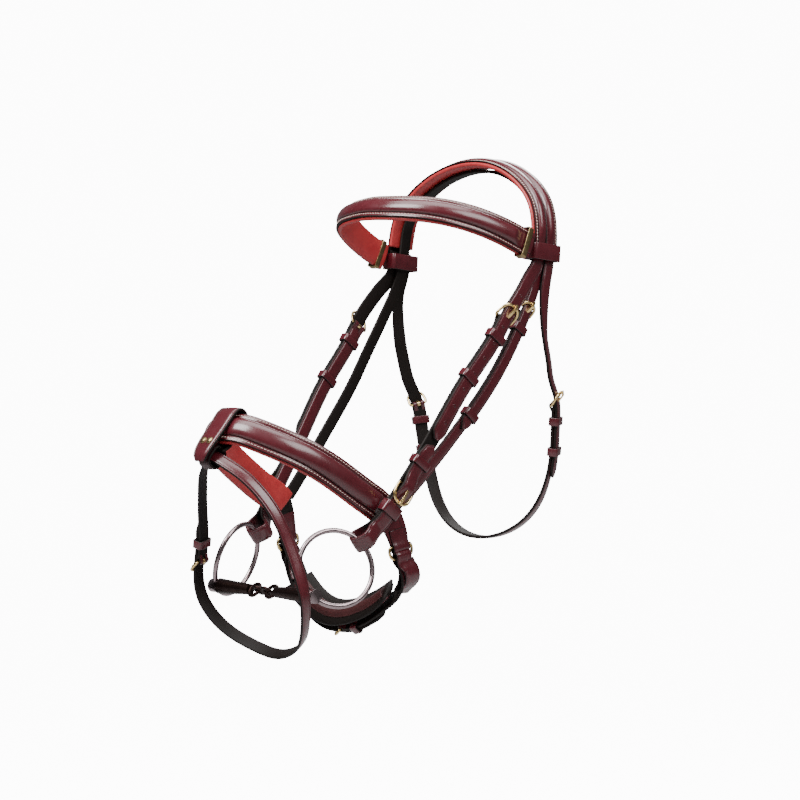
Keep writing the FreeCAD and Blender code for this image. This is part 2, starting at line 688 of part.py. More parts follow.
flash_left = [head(72, 435, -3), head(77.5, 421.5, 15.5), head(73, 406.5, 32), head(65, 391, 49.3),
              head(56, 375.5, 72), head(46, 366.5, 89), head(33, 360, 106), head(16, 355.8, 120.5)]
flash_under = [head(58, 443.6, -21.5), head(30, 448, -40), head(0, 450, -47)]
NOSE_TAB = head(0, 354, 128)
FLASH_WAY = DOWN * 0.98 + DORSAL * 0.2
flash_side = Line([mirrored(point) for point in flash_left], [FLASH_WAY, FLASH_WAY], ACROSS * -1)
FLASH_BAR = 48.0
FLASH_TIP = 88.0
flash_start = FLASH_BAR + BAR_CLEAR
flash_run = flash_side.length - flash_start
flash_inner = [flash_side.point(flash_start + flash_run * i / 10, -LAYER) for i in range(11)]
flash_outer = [flash_side.point(FLASH_TIP * i / 11, LAYER) for i in range(12)]
flash_line = Line(
    flash_inner + [NOSE_TAB] + list(reversed(flash_left)) + flash_under
    + [mirrored(point) for point in reversed(flash_under[:-1])] + flash_outer,
    [FLASH_WAY, FLASH_WAY],
    ACROSS * -1,
)
strap("flash_strap", flash_line, [dim("flash_width")], LEATHER, tip=True,
      slot=tongue_slot(flash_side, FLASH_BAR))
buckle_body("flash_buckle", "dims.flash_width", "dims.strap_buckle_reach", flash_side, FLASH_BAR)
tongue_body("flash_tongue", "dims.strap_buckle_reach", flash_side, FLASH_BAR)
node(keeper_body("flash_keeper", "dims.flash_width", flash_side, FLASH_BAR + 18.0), "flash_keeper")

TAB_SAG = 3.2
tab_at = nose_line.placement(nose_line.length / 2)
tab_inner = "dims.noseband_width + 2 * dims.padding_rim + 4 * dims.side_gap"
tab_layers = f"dims.raised_leather + dims.padding + 3 * dims.layer_gap + {TAB_SAG}"
tab_foot = f"-(dims.raised_leather / 2 + dims.padding + 2 * dims.layer_gap + {TAB_SAG})"
tab_upper = looped_body(
    "flash_tab_upper",
    ((sized(tab_inner), sized(tab_layers)), 1.5, sized(tab_foot)),
    ((sized(f"{tab_inner} + 2 * dims.tab_wall"), sized(f"{tab_layers} + 2 * dims.tab_wall")), 3.9,
     sized(f"{tab_foot} - dims.tab_wall")),
    "XZ_Plane", "dims.tab_length", tab_at)
slot_inner = "dims.flash_width + 3"
slot_layers = "dims.leather + 8"
flash_way_placement = Placement(NOSE_TAB - DORSAL * 2.5,
                               Rotation(FLASH_WAY, ACROSS, FLASH_WAY.cross(ACROSS), "YXZ"))
tab_slot = looped_body(
    "flash_tab_slot",
    ((sized(slot_inner), sized(slot_layers)), 1.5, sized(f"-({slot_layers}) / 2")),
    ((sized(f"{slot_inner} + 2 * dims.tab_wall"), sized(f"{slot_layers} + 2 * dims.tab_wall")), 3.9,
     sized(f"-({slot_layers}) / 2 - dims.tab_wall")),
    "XZ_Plane", "dims.tab_slot_length", flash_way_placement)
tab = document.addObject("Part::MultiFuse", "flash_tab")
tab.Shapes = [tab_upper, tab_slot]
node(tab, "flash_tab")

RIVET_DROP = 8.0
RIVET_SPREAD = 5.0
rivets = []
for index, offset in enumerate((-RIVET_SPREAD, RIVET_SPREAD)):
    rivet = document.addObject("Part::Cylinder", f"rivet_{index}")
    rivet.setExpression("Radius", "dims.rivet_radius")
    rivet.setExpression("Height", "dims.rivet_height")
    outer_face = dim("raised_leather") / 2 + dim("layer_gap") + dim("tab_wall") + 0.02
    rivet.Placement = tab_at * Placement(Vector(RIVET_DROP, offset, outer_face), Rotation())
    rivets.append(rivet)
group("flash_rivets", rivets)

# Loose-ring bit: two rings, two cannons and a middle link

BARREL_TURN = math.radians(8.9)


def torus(name, major_rule, minor_rule, centre, axis):
    item = document.addObject("Part::Torus", name)
    item.setExpression("Radius1", major_rule)
    item.setExpression("Radius2", minor_rule)
    item.Placement = Placement(centre, Rotation(Vector(0, 0, 1), axis))
    return item


def joined(kind, name, members):
    item = document.addObject(kind, name)
    if kind == "Part::Cut":
        item.Base, item.Tool = members
    else:
        item.Shapes = members
    return item


barrel_centre = RING_CENTRE + DOWN * (dim("ring_radius") * math.cos(BARREL_TURN)) \
    + RING_FRONT * (dim("ring_radius") * math.sin(BARREL_TURN))
EYE_X = 12.6
LINK_EYE_X = EYE_X - 6.5
# The tapered part runs this far into the barrel.
CONE_OVERLAP = 1.0
for side, sign in SIDES.items():
    place = Vector if sign > 0 else mirrored
    ring_centre, ring_normal = place(RING_CENTRE), place(RING_NORMAL)
    node(torus(f"bit_ring_{side}", "dims.ring_radius", "dims.ring_wire", ring_centre, ring_normal),
         f"bit_ring_{side}")
    inward = Rotation(Vector(0, 0, 1), ACROSS * -sign)
    outer_end = place(barrel_centre + ACROSS * (dim("barrel_length") / 2))
    barrel = document.addObject("Part::Cylinder", f"barrel_{side}")
    barrel.setExpression("Radius", "dims.barrel_radius")
    barrel.setExpression("Height", "dims.barrel_length")
    barrel.Placement = Placement(outer_end, inward)
    cone_start = barrel_centre.x - dim("barrel_length") / 2 + CONE_OVERLAP
    cone = document.addObject("Part::Cone", f"cone_{side}")
    cone.setExpression("Radius1", "dims.cannon_thick")
    cone.setExpression("Radius2", "dims.cannon_thin")
    cone.Height = cone_start - EYE_X - dim("cannon_eye")
    cone.Placement = Placement(place(Vector(cone_start, barrel_centre.y, barrel_centre.z)), inward)
    eye_centre = place(Vector(EYE_X, barrel_centre.y, barrel_centre.z))
    eye = torus(f"cannon_eye_{side}", "dims.cannon_eye", "dims.cannon_eye_wire", eye_centre, DORSAL)
    solid_cannon = joined("Part::MultiFuse", f"cannon_body_{side}", [barrel, cone, eye])
    hole = torus(f"ring_hole_{side}", "dims.ring_radius", "dims.ring_hole", ring_centre, ring_normal)
    node(joined("Part::Cut", f"bit_cannon_{side}", [solid_cannon, hole]), f"bit_cannon_{side}")

link_centre = Vector(0, barrel_centre.y, barrel_centre.z)
link_parts = []
for side, sign in SIDES.items():
    eye_centre = link_centre + ACROSS * (sign * LINK_EYE_X)
    link_parts.append(torus(f"link_eye_{side}", "dims.link_eye", "dims.link_eye_wire", eye_centre, DOWN))
node(joined("Part::MultiFuse", "bit_link", link_parts), "bit_link")

document.recompute()

for item in document.Objects:
    if {"Invalid", "Error"} & set(item.State):
        raise RuntimeError(f"{item.Label} did not compute: {item.State}")
faulty = [item.Label for item in nodes
          if item.Shape.isNull() or not item.Shape.isValid() or item.Shape.Volume <= 0]
if faulty:
    raise RuntimeError(f"no valid shape: {faulty}")

os.makedirs("parts", exist_ok=True)
for item in nodes:
    item.Shape.exportStep(f"parts/{item.Label}.step")
print(f"{len(nodes)} pieces written")
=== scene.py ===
import json
import math
from collections import defaultdict

import bmesh
import bpy
import numpy as np
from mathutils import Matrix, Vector

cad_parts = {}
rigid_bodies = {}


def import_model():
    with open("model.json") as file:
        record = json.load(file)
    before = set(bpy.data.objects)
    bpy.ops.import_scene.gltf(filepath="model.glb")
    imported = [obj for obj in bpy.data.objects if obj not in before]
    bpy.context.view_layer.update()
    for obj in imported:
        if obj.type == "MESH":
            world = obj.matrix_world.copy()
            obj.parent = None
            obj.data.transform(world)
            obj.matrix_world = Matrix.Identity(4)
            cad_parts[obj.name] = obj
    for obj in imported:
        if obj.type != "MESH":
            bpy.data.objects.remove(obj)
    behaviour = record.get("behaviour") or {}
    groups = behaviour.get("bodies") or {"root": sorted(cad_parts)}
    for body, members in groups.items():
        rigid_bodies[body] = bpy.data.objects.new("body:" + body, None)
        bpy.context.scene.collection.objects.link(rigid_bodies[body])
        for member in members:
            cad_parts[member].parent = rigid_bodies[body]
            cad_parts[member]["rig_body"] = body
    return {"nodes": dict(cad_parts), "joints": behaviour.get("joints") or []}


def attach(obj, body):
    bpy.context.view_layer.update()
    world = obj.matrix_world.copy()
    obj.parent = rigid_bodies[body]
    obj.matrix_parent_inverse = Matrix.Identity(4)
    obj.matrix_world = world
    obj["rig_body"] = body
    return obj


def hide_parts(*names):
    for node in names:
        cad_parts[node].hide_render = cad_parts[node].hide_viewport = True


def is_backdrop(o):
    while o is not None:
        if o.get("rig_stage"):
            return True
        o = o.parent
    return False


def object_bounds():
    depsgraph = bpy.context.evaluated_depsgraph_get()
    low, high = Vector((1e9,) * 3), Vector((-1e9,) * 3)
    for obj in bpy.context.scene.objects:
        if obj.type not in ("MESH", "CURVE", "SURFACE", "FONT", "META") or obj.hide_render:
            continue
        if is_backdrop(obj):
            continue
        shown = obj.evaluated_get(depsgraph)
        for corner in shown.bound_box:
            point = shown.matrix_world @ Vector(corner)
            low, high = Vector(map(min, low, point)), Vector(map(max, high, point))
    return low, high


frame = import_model()
cad_low, cad_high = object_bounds()

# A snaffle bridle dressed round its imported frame. Each strap is drawn again along the edges of its
# CAD strap, so its place and length come from the frame. The frame is in metres. Shape tables are
# in millimetres.
MM = 0.001
JOINTS = {j["name"]: j for j in frame["joints"]}
NODES = frame["nodes"]
ROOT = "bridle"
SIDES = {"left": 1, "right": -1}


def unit(rows):
    """Rows scaled to length one."""
    rows = np.asarray(rows, float)
    return rows / np.maximum(np.linalg.norm(rows, axis=-1, keepdims=True), 1e-12)


def smooth(low, high, values):
    """0 below low, 1 above high, and an even curve between."""
    t = np.clip((np.asarray(values, float) - low) / (high - low), 0, 1)
    return t * t * (3 - 2 * t)


def circle(count, start=0.0):
    """Even angles once round, from start."""
    return np.linspace(start, start + 2 * math.pi, count + 1)[:-1]


def ring_faces(rings, sides, offset=0):
    """Quads between rings of points that follow each other."""
    return [(a + j, a + sides + j, a + sides + (j + 1) % sides, a + (j + 1) % sides)
            for a in range(offset, offset + (rings - 1) * sides, sides) for j in range(sides)]


def pivot(joint):
    """A joint's place and the way of its axis."""
    return np.array(JOINTS[joint]["pos_m"]), unit(np.array(JOINTS[joint]["axis"]))


# -------------------- straps found in the frame

# Faces meet in a sharp edge when their normals' cosine is under SHARP. An edge line goes on while
# the cosine of its turn is over STRAIGHT.
MERGE = 0.02 * MM
SHARP = math.cos(math.radians(35))
STRAIGHT = 0.7
STEP = 2.0 * MM
EXTRA_ROWS = 8


def edge_lines(node):
    """The long sharp edges of a CAD strap as point rows, longest first."""
    mesh = NODES[node].data
    place, points, index = {}, [], []
    for vertex in mesh.vertices:
        key = tuple(int(round(c / MERGE)) for c in vertex.co)
        if key not in place:
            place[key] = len(points)
            points.append(tuple(vertex.co))
        index.append(place[key])
    points = np.array(points)
    mesh.calc_loop_triangles()
    faces = [tuple(index[v] for v in tri.vertices) for tri in mesh.loop_triangles]
    faces = [f for f in faces if len(set(f)) == 3]
    corner = points[np.array(faces)]
    normals = unit(np.cross(corner[:, 1] - corner[:, 0], corner[:, 2] - corner[:, 0]))
    shared = defaultdict(list)
    for number, (a, b, c) in enumerate(faces):
        for p, q in ((a, b), (b, c), (c, a)):
            shared[(min(p, q), max(p, q))].append(number)
    sharp = [edge for edge, owners in shared.items()
             if len(owners) == 2 and normals[owners[0]] @ normals[owners[1]] < SHARP]
    near = defaultdict(list)
    for a, b in sharp:
        near[a].append(b)
        near[b].append(a)
    used, lines = set(), []
    for a, b in sharp:
        if (a, b) in used:
            continue
        used.add((a, b))
        chain = [a, b]
        for _ in range(2):
            while True:
                before, last = chain[-2], chain[-1]
                way = unit(points[last] - points[before])
                options = [(float(way @ unit(points[r] - points[last])), r) for r in near[last]
                           if (min(last, r), max(last, r)) not in used]
                options = [o for o in options if o[0] > STRAIGHT]
                if not options:
                    break
                following = max(options)[1]
                used.add((min(last, following), max(last, following)))
                chain.append(following)
            chain.reverse()
        lines.append(points[chain])
    return sorted(lines, key=lambda line: -run(line)[-1])


def run(line):
    """Distance along a row of points."""
    return np.concatenate([[0.0], np.cumsum(np.linalg.norm(np.diff(line, axis=0), axis=1))])


def evenly(line, count):
    """The line at even distances."""
    distance = run(line)
    at = np.linspace(0, distance[-1], count)
    return np.column_stack([np.interp(at, distance, line[:, i]) for i in range(3)])


# The tip is where points TIP_REACH to either side come closest, in this share of the outline.
TIP_ZONE = (0.42, 0.58)
TIP_PLACES = 161
TIP_REACH = 5 * MM
TIP_CUT = 0.2 * MM
MIDDLE_PULL = 0.02


def split_at_tip(line):
    """An outline that runs out along one edge, round the tip and back, as two edges.

    Both edges start at the square end.
    """
    distance = run(line)
    total = distance[-1]

    def at(where):
        return np.array([np.interp(where, distance, line[:, i]) for i in range(3)])

    def openness(place):
        gap = np.linalg.norm(at(place - TIP_REACH) - at(place + TIP_REACH))
        return gap + MIDDLE_PULL * abs(place - total / 2)

    tip = min(np.linspace(TIP_ZONE[0] * total, TIP_ZONE[1] * total, TIP_PLACES), key=openness)
    first = np.vstack([line[distance < tip - TIP_CUT], at(tip - TIP_CUT)])
    second = np.vstack([at(tip + TIP_CUT), line[distance > tip + TIP_CUT]])
    return [first, second[::-1]]


FINER = 4
LOOK_BACK = 1 * MM
LOOK_AHEAD = 9 * MM


def follow(master, other):
    """The point of the other line nearest each master point, walking only forwards."""
    count = FINER * len(master)
    fine = evenly(other, count)
    step = run(fine)[-1] / (count - 1)
    back, ahead = int(LOOK_BACK / step) + 1, int(LOOK_AHEAD / step) + 2
    found, at = [], 0
    for point in master:
        low = max(0, at - back)
        window = fine[low:min(count, at + ahead)]
        at = max(at, low + int(np.argmin(np.linalg.norm(window - point, axis=1))))
        found.append(fine[at])
    result = np.array(found)
    result[0], result[-1] = other[0], other[-1]
    return result


class Ribbon:
    """A strap as rows of section corners: front and back of its left and right edges."""

    def __init__(self, corners):
        self.fl, self.fr, self.bl, self.br = corners
        self.centre = sum(corners) / 4
        self.across = unit((self.fr - self.fl) + (self.br - self.bl))
        along = unit(np.gradient(self.centre, axis=0))
        thick = (self.fl + self.fr) - (self.bl + self.br)
        out = unit(np.cross(self.across, along))
        self.out = out * np.sign(np.sum(out * thick, axis=1, keepdims=True))
        self.along = unit(np.cross(self.out, self.across))
        self.along *= np.sign(np.sum(self.along * along, axis=1, keepdims=True))
        self.distance = run(self.centre)
        self.length = self.distance[-1]
        self.half = np.linalg.norm((self.fr + self.br) - (self.fl + self.bl), axis=1) / 4
        self.thick = np.linalg.norm(thick, axis=1) / 2

    def part(self, start, end):
        """The stretch between two distances."""
        at = np.linspace(start, end, max(3, int(abs(end - start) / STEP) + 1))
        return Ribbon([np.column_stack([np.interp(at, self.distance, c[:, i]) for i in range(3)])
                       for c in (self.fl, self.fr, self.bl, self.br)])

    def at(self, distance):
        """Centre, along, across, out, half width and half thickness at a distance."""
        def pick(rows):
            return np.array([np.interp(distance, self.distance, rows[:, i]) for i in range(3)])

        return (pick(self.centre), unit(pick(self.along)), unit(pick(self.across)),
                unit(pick(self.out)), float(np.interp(distance, self.distance, self.half)),
                float(np.interp(distance, self.distance, self.thick)) / 2)

    def reverse(self):
        """The same strap, measured from its other end."""
        return Ribbon([c[::-1] for c in (self.fl, self.fr, self.bl, self.br)])

    def ends(self, length):
        """The stretches of this length at the start and at the end."""
        return self.part(0, length), self.part(self.length - length, self.length)


FINE_STEP = 0.8 * MM
FEWEST_ROWS = 8


def made_ribbon(path, across, width, thick, out_hint):
    """A ribbon along a path of points.

    across is one direction or one per point, and out_hint picks which side is the front.
    """
    path = np.asarray(path, float)
    at = run(path)
    even = np.linspace(0, at[-1], max(FEWEST_ROWS, int(at[-1] / FINE_STEP)))
    fine = catmull(path, at, even)
    across = np.broadcast_to(np.asarray(across, float), path.shape)
    across = unit(np.column_stack([np.interp(even, at, across[:, i]) for i in range(3)]))
    along = unit(np.gradient(fine, axis=0))
    across = unit(across - along * np.sum(across * along, axis=1, keepdims=True))
    out = unit(np.cross(along, across))
    if np.sum(out[0] * out_hint) < 0:
        out = -out
    widths = np.interp(even, at, np.broadcast_to(np.asarray(width, float), (len(path),)))[:, None]
    side, up = across * widths / 2, out * thick / 2
    return Ribbon([fine - side + up, fine + side + up, fine - side - up, fine + side - up])


def catmull(path, at, even):
    """A smooth curve through the path at even distances."""
    slopes = np.gradient(path, at, axis=0)
    cell = np.clip(np.searchsorted(at, even, side="right") - 1, 0, len(at) - 2)
    width = (at[cell + 1] - at[cell])[:, None]
    t = ((even - at[cell])[:, None]) / width
    return ((2 * t**3 - 3 * t**2 + 1) * path[cell] + (t**3 - 2 * t**2 + t) * width * slopes[cell]
            + (-2 * t**3 + 3 * t**2) * path[cell + 1] + (t**3 - t**2) * width * slopes[cell + 1])


# The head slopes forward at HEAD_PITCH, and its middle line starts this far above the rings.
HEAD_PITCH = math.radians(51)
DOWN = np.array([0, -math.cos(HEAD_PITCH), -math.sin(HEAD_PITCH)])
DORSAL = np.array([0, -math.sin(HEAD_PITCH), math.cos(HEAD_PITCH)])
ACROSS = np.array([1.0, 0, 0])
RINGS_DOWN_HEAD = 379 * MM
ring_left = pivot("ring_spin_left")[0]
HEAD_AXIS_POINT = np.array([0, ring_left[1], ring_left[2]]) - DOWN * RINGS_DOWN_HEAD
LONG_EDGE_SHARE = 0.6


def outwards(points):
    """Away from the middle of the horse's head."""
    offset = points - HEAD_AXIS_POINT
    return offset - np.outer(offset @ DOWN, DOWN)


def ribbon(node, long_front=False):
    """The ribbon of a CAD strap. Its front looks away from the head, or is its longer face."""
    lines = edge_lines(node)
    longest = run(lines[0])[-1]
    lines = [line for line in lines if run(line)[-1] > LONG_EDGE_SHARE * longest][:4]
    if len(lines) == 2:
        lines = split_at_tip(lines[0]) + split_at_tip(lines[1])
    master = evenly(lines[0], int(longest / STEP) + EXTRA_ROWS)
    others = []
    for line in lines[1:]:
        same = np.linalg.norm(line[0] - master[0]) + np.linalg.norm(line[-1] - master[-1])
        turned = np.linalg.norm(line[-1] - master[0]) + np.linalg.norm(line[0] - master[-1])
        others.append(follow(master, line if same < turned else line[::-1]))
    others.sort(key=lambda line: np.linalg.norm(line - master, axis=1).mean())
    below, beside, opposite = others
    front, back = (master, beside), (below, opposite)
    mean_front, mean_back = sum(front) / 2, sum(back) / 2
    if long_front:
        front_is_out = run(mean_front)[-1] > run(mean_back)[-1]
    else:
        front_is_out = np.sum((mean_front - mean_back) * unit(outwards(mean_front))) > 0
    if not front_is_out:
        front, back = back, front
    return Ribbon([front[0], front[1], back[0], back[1]])


# -------------------- materials

BLACK, WHITE = (0, 0, 0), (1, 1, 1)


def grey(value):
    return (value, value, value)


def shader(name):
    """A new material, its tree and surface, and a maker of noise fixed to the piece."""
    material = bpy.data.materials.new(name)
    material.use_nodes = True
    tree = material.node_tree
    where = tree.nodes.new("ShaderNodeTexCoord")

    def noise(scale, detail=4.0, rough=0.55, kind="ShaderNodeTexNoise"):
        made = tree.nodes.new(kind)
        made.inputs["Scale"].default_value = scale
        if kind == "ShaderNodeTexNoise":
            made.inputs["Detail"].default_value = detail
            made.inputs["Roughness"].default_value = rough
        tree.links.new(where.outputs["Object"], made.inputs["Vector"])
        return made

    return material, tree, tree.nodes["Principled BSDF"], noise


def ramp(tree, source, low, high):
    """A colour ramp between two (place, colour) stops."""
    made = tree.nodes.new("ShaderNodeValToRGB")
    for cell, (place, colour) in zip(made.color_ramp.elements, (low, high)):
        cell.position = place
        cell.color = (*colour, 1)
    tree.links.new(source, made.inputs["Fac"])
    return made.outputs["Color"]


def mixed(tree, share, first, second):
    """A mix of two colours or sockets."""
    made = tree.nodes.new("ShaderNodeMix")
    made.data_type = "RGBA"
    for socket, value in (("Factor", share), ("A", first), ("B", second)):
        if isinstance(value, tuple):
            made.inputs[socket].default_value = (*value, 1)
        else:
            tree.links.new(value, made.inputs[socket])
    return made.outputs["Result"]


def bumped(tree, surface, layers):
    """Bump layers as (height socket, strength, distance in mm)."""
    normal = None
    for height, strength, distance in layers:
        made = tree.nodes.new("ShaderNodeBump")
        made.inputs["Strength"].default_value = strength
        made.inputs["Distance"].default_value = distance * MM
        tree.links.new(height, made.inputs["Height"])
        if normal is not None:
            tree.links.new(normal, made.inputs["Normal"])
        normal = made.outputs["Normal"]
    tree.links.new(normal, surface.inputs["Normal"])


# Roughness rises by these from the smoothest to the dullest patch of a surface.
LEATHER_DULLING = 0.14
METAL_DULLING = 0.16
EDGE_ROUGHNESS = 0.60
SHADE = 0.6


def leather(name, base, light, edge, gloss, coat, grain=0.16):
    """Finished leather: mottled dye, grain and pores, and the dark edge colour where the tone is 1:
    burnished edges, the backs, and painted shade in grooves and under the flash tab.
    """
    material, tree, surface, noise = shader(name)
    mottle = noise(95, 5).outputs["Fac"]
    cloud = noise(22, 3).outputs["Fac"]
    colour = mixed(tree, ramp(tree, mottle, (0.25, BLACK), (0.8, WHITE)), base, light)
    colour = mixed(tree, ramp(tree, cloud, (0.35, BLACK), (0.75, grey(0.35))), colour,
                   tuple(c * SHADE for c in base))
    tone = tree.nodes.new("ShaderNodeAttribute")
    tone.attribute_name = "tone"
    dark_tone = ramp(tree, tone.outputs["Fac"], (0.12, BLACK), (0.62, WHITE))
    tree.links.new(mixed(tree, dark_tone, colour, edge), surface.inputs["Base Color"])
    pores = noise(1500, kind="ShaderNodeTexVoronoi")
    fine = noise(700, 5, 0.6)
    wrinkle = noise(140, 4, 0.5)
    bumped(tree, surface, [(wrinkle.outputs["Fac"], grain * 0.7, 0.3),
                           (pores.outputs["Distance"], grain, 0.12),
                           (fine.outputs["Fac"], grain * 1.2, 0.10)])
    rough = ramp(tree, mottle, (0.25, grey(gloss)), (0.8, grey(gloss + LEATHER_DULLING)))
    for socket, dyed, burnished in (("Roughness", rough, grey(EDGE_ROUGHNESS)),
                                    ("Coat Weight", grey(coat), BLACK),
                                    ("Specular IOR Level", grey(0.5), grey(0.22))):
        tree.links.new(mixed(tree, dark_tone, dyed, burnished), surface.inputs[socket])
    surface.inputs["Coat Roughness"].default_value = 0.18
    return material


def metal(name, bright, dark, rough, scratch=0.12, patches=(0.45, 0.85)):
    """Polished or patinated metal with fine scratches and darker patches."""
    material, tree, surface, noise = shader(name)
    patina = noise(170, 6, 0.6).outputs["Fac"]
    colour = mixed(tree, ramp(tree, patina, (patches[0], BLACK), (patches[1], WHITE)), bright, dark)
    tree.links.new(colour, surface.inputs["Base Color"])
    surface.inputs["Metallic"].default_value = 1.0
    scratches = noise(2600, 2, 0.5)
    hammered = noise(420, 3, 0.5)
    bumped(tree, surface, [(hammered.outputs["Fac"], scratch, 0.10),
                           (scratches.outputs["Fac"], scratch, 0.04)])
    dulled = ramp(tree, patina, (0.3, grey(rough)), (0.8, grey(rough + METAL_DULLING)))
    tree.links.new(dulled, surface.inputs["Roughness"])
    return material


def sewing_thread():
    """Pale waxed thread with a twist in it. Its pale colour is partly the thread's own and partly a
    painted highlight, the glint along the raised margins.
    """
    material, tree, surface, noise = shader("thread")
    twist = noise(1900, 3, 0.5).outputs["Fac"]
    colour = mixed(tree, twist, (0.50, 0.36, 0.30), (0.80, 0.66, 0.58))
    tree.links.new(colour, surface.inputs["Base Color"])
    surface.inputs["Roughness"].default_value = 0.55
    bumped(tree, surface, [(twist, 0.5, 0.06)])
    return material


OXBLOOD = leather("oxblood", base=(0.074, 0.0068, 0.0115), light=(0.092, 0.0100, 0.0165),
                  edge=(0.007, 0.004, 0.003), gloss=0.22, coat=0.45, grain=0.12)
# Dark leather for burnished cut edges; the punched holes also use it for their closed bottoms, as painted
# shade.
EDGE_AND_SHADE = leather("burnished_edge_and_shade", base=(0.008, 0.0045, 0.0035), light=(0.012, 0.007, 0.005),
               edge=(0.006, 0.004, 0.003), gloss=0.55, coat=0.0)
RED = leather("red_padding", base=(0.36, 0.018, 0.022), light=(0.46, 0.038, 0.036),
              edge=(0.16, 0.008, 0.010), gloss=0.42, coat=0.08, grain=0.3)
# The chin pad's red lining, darkened nearly to black: painted shade inside the pad.
PAINTED_SHADE_RED = leather("shaded_padding", base=(0.040, 0.003, 0.004), light=(0.060, 0.005, 0.006),
                   edge=(0.02, 0.002, 0.002), gloss=0.5, coat=0.04, grain=0.3)
BRASS = metal("brass", bright=(0.86, 0.64, 0.30), dark=(0.55, 0.37, 0.14), rough=0.17)
ANTIQUE = metal("antique_brass", bright=(0.40, 0.30, 0.15), dark=(0.16, 0.11, 0.05), rough=0.30,
                scratch=0.3, patches=(0.35, 0.7))
STEEL = metal("ring_steel", bright=(0.33, 0.26, 0.27), dark=(0.24, 0.185, 0.19), rough=0.17,
              scratch=0.06, patches=(0.5, 0.95))
IRON = metal("mouthpiece_iron", bright=(0.035, 0.020, 0.018), dark=(0.012, 0.007, 0.006),
             rough=0.36, scratch=0.3)
THREAD = sewing_thread()


# -------------------- building meshes

def add_piece(name, verts, faces, materials, body, tones=None, face_slots=None, stands_for=()):
    """A visible piece riding on a body. stands_for names the CAD nodes that it replaces."""
    mesh = bpy.data.meshes.new(name)
    mesh.from_pydata([tuple(v) for v in verts], [], faces)
    for material in materials:
        mesh.materials.append(material)
    if face_slots is not None:
        mesh.polygons.foreach_set("material_index", np.asarray(face_slots, np.int32))
    mesh.polygons.foreach_set("use_smooth", np.ones(len(mesh.polygons), bool))
    if tones is not None:
        tone = mesh.attributes.new("tone", "FLOAT", "POINT")
        tone.data.foreach_set("value", np.asarray(tones, np.float32))
    mesh.update()
    piece = bpy.data.objects.new(name, mesh)
    bpy.context.scene.collection.objects.link(piece)
    settle(piece, body, stands_for)
    outward_faces(piece)


def settle(piece, body, stands_for):
    """Ties a piece to its body and hides the CAD nodes it stands for."""
    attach(piece, body)
    if stands_for:
        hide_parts(*stands_for)


def outward_faces(piece):
    """Turns every face of a piece to look out."""
    work = bmesh.new()
    work.from_mesh(piece.data)
    bmesh.ops.recalc_face_normals(work, faces=work.faces)
    work.to_mesh(piece.data)
    work.free()
    piece.data.update()


def body_of(node):
    return NODES[node]["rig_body"]


# A profile is the section of a strap, as points round it in the order front, then back. Each row
# is (side, inset, level, lift, ridge, tone): side -1 is the left edge and 1 the right, inset is mm
# in towards the right, level is 0 on the back and 1 on the front, lift is mm out, ridge is mm out
# where the strap is raised, and tone is 0 for dyed leather and 1 for dark leather: the burnished
# edges, the back and the pressed creases, and painted shade in the grooves beside raised ridges.

def mirrored(rows):
    """Profile rows of the other edge."""
    return [(-side, -inset, level, lift, ridge, tone)
            for side, inset, level, lift, ridge, tone in reversed(rows)]


def flat_profile(crown=0.25, crease=1.5, bevel=1.0):
    """A strap with rolled edges, a pressed crease near each edge and a slight crown."""
    edge = [(-1, 0.0, 0.50, 0, 0, 1.0), (-1, 0.06, 0.76, 0, 0, 1.0),
            (-1, 0.32 * bevel, 0.92, 0, 0, 0.75), (-1, 0.75 * bevel, 0.99, 0.02, 0, 0.25),
            (-1, 1.15 * bevel, 1, 0.05, 0, 0.0), (-1, crease + 0.10, 1, 0.05, 0, 0.1),
            (-1, crease + 0.32, 1, -0.28, 0, 0.8), (-1, crease + 0.62, 1, 0.06, 0, 0.0)]
    top = [(side, 0, 1, crown * (1 - side * side) + 0.06, 0, 0) for side in (-0.45, 0.0, 0.45)]
    back = [(1, 0.0, 0.26, 0, 0, 1), (1, -0.5, 0.04, 0, 0, 1), (1, -1.2, 0, 0, 0, 0.9)]
    return edge + top + mirrored(edge) + back + [(0, 0, 0, 0.0, 0, 0.8)] + mirrored(back)


RIDGE_ROUND = 0.85
GROOVE = 1.6


def raised_profile(margin, low, high, ridges=1):
    """A strap with thin stitched margins and one or two rounded ridges between them.

    The grooves at the ridges' feet and between two ridges are dark: painted shade.
    """
    # The margin's last rows, at the foot of the ridge, are dark: painted shade in the groove.
    edge = [(-1, 0.0, 0.30, 0, 0, 1.0), (-1, 0.05, 0.50, 0, 0, 1.0),
            (-1, 0.45, 1, low - 0.15, 0, 0.6), (-1, 0.95, 1, low + 0.10, 0, 0.0),
            (-1, margin - 1.2, 1, low + 0.12, 0, 0.0), (-1, margin - 0.55, 1, low - 0.1, 0, 0.35),
            (-1, margin, 1, low - 0.55, 0, 1.0)]

    def ridge_row(side, inset, turn):
        return (side, inset, 1, low, (high - low) * math.sin(turn) ** RIDGE_ROUND, 0)

    if ridges == 1:
        ridge = [ridge_row(-math.cos(turn), math.cos(turn) * (margin - 0.1), turn)
                 for turn in np.linspace(0.06, 0.94, 15) * math.pi]
    else:
        right = []
        for turn in np.linspace(0.05, 0.95, 11) * math.pi:
            side = 0.5 - 0.5 * math.cos(turn)
            right.append(ridge_row(side, -side * margin + GROOVE * (1 - side), turn))
        # The groove between the two ridges is dark: painted shade.
        ridge = mirrored(right) + [(0, 0, 1, low - 0.9, 0, 1)] + right
    back = [(1, -0.4, 0.02, 0, 0, 1), (0, 0, 0, 0.0, 0, 0.8), (-1, 0.4, 0.02, 0, 0, 1)]
    return edge + ridge + mirrored(edge) + back


PADDING_ROUND = 1.6


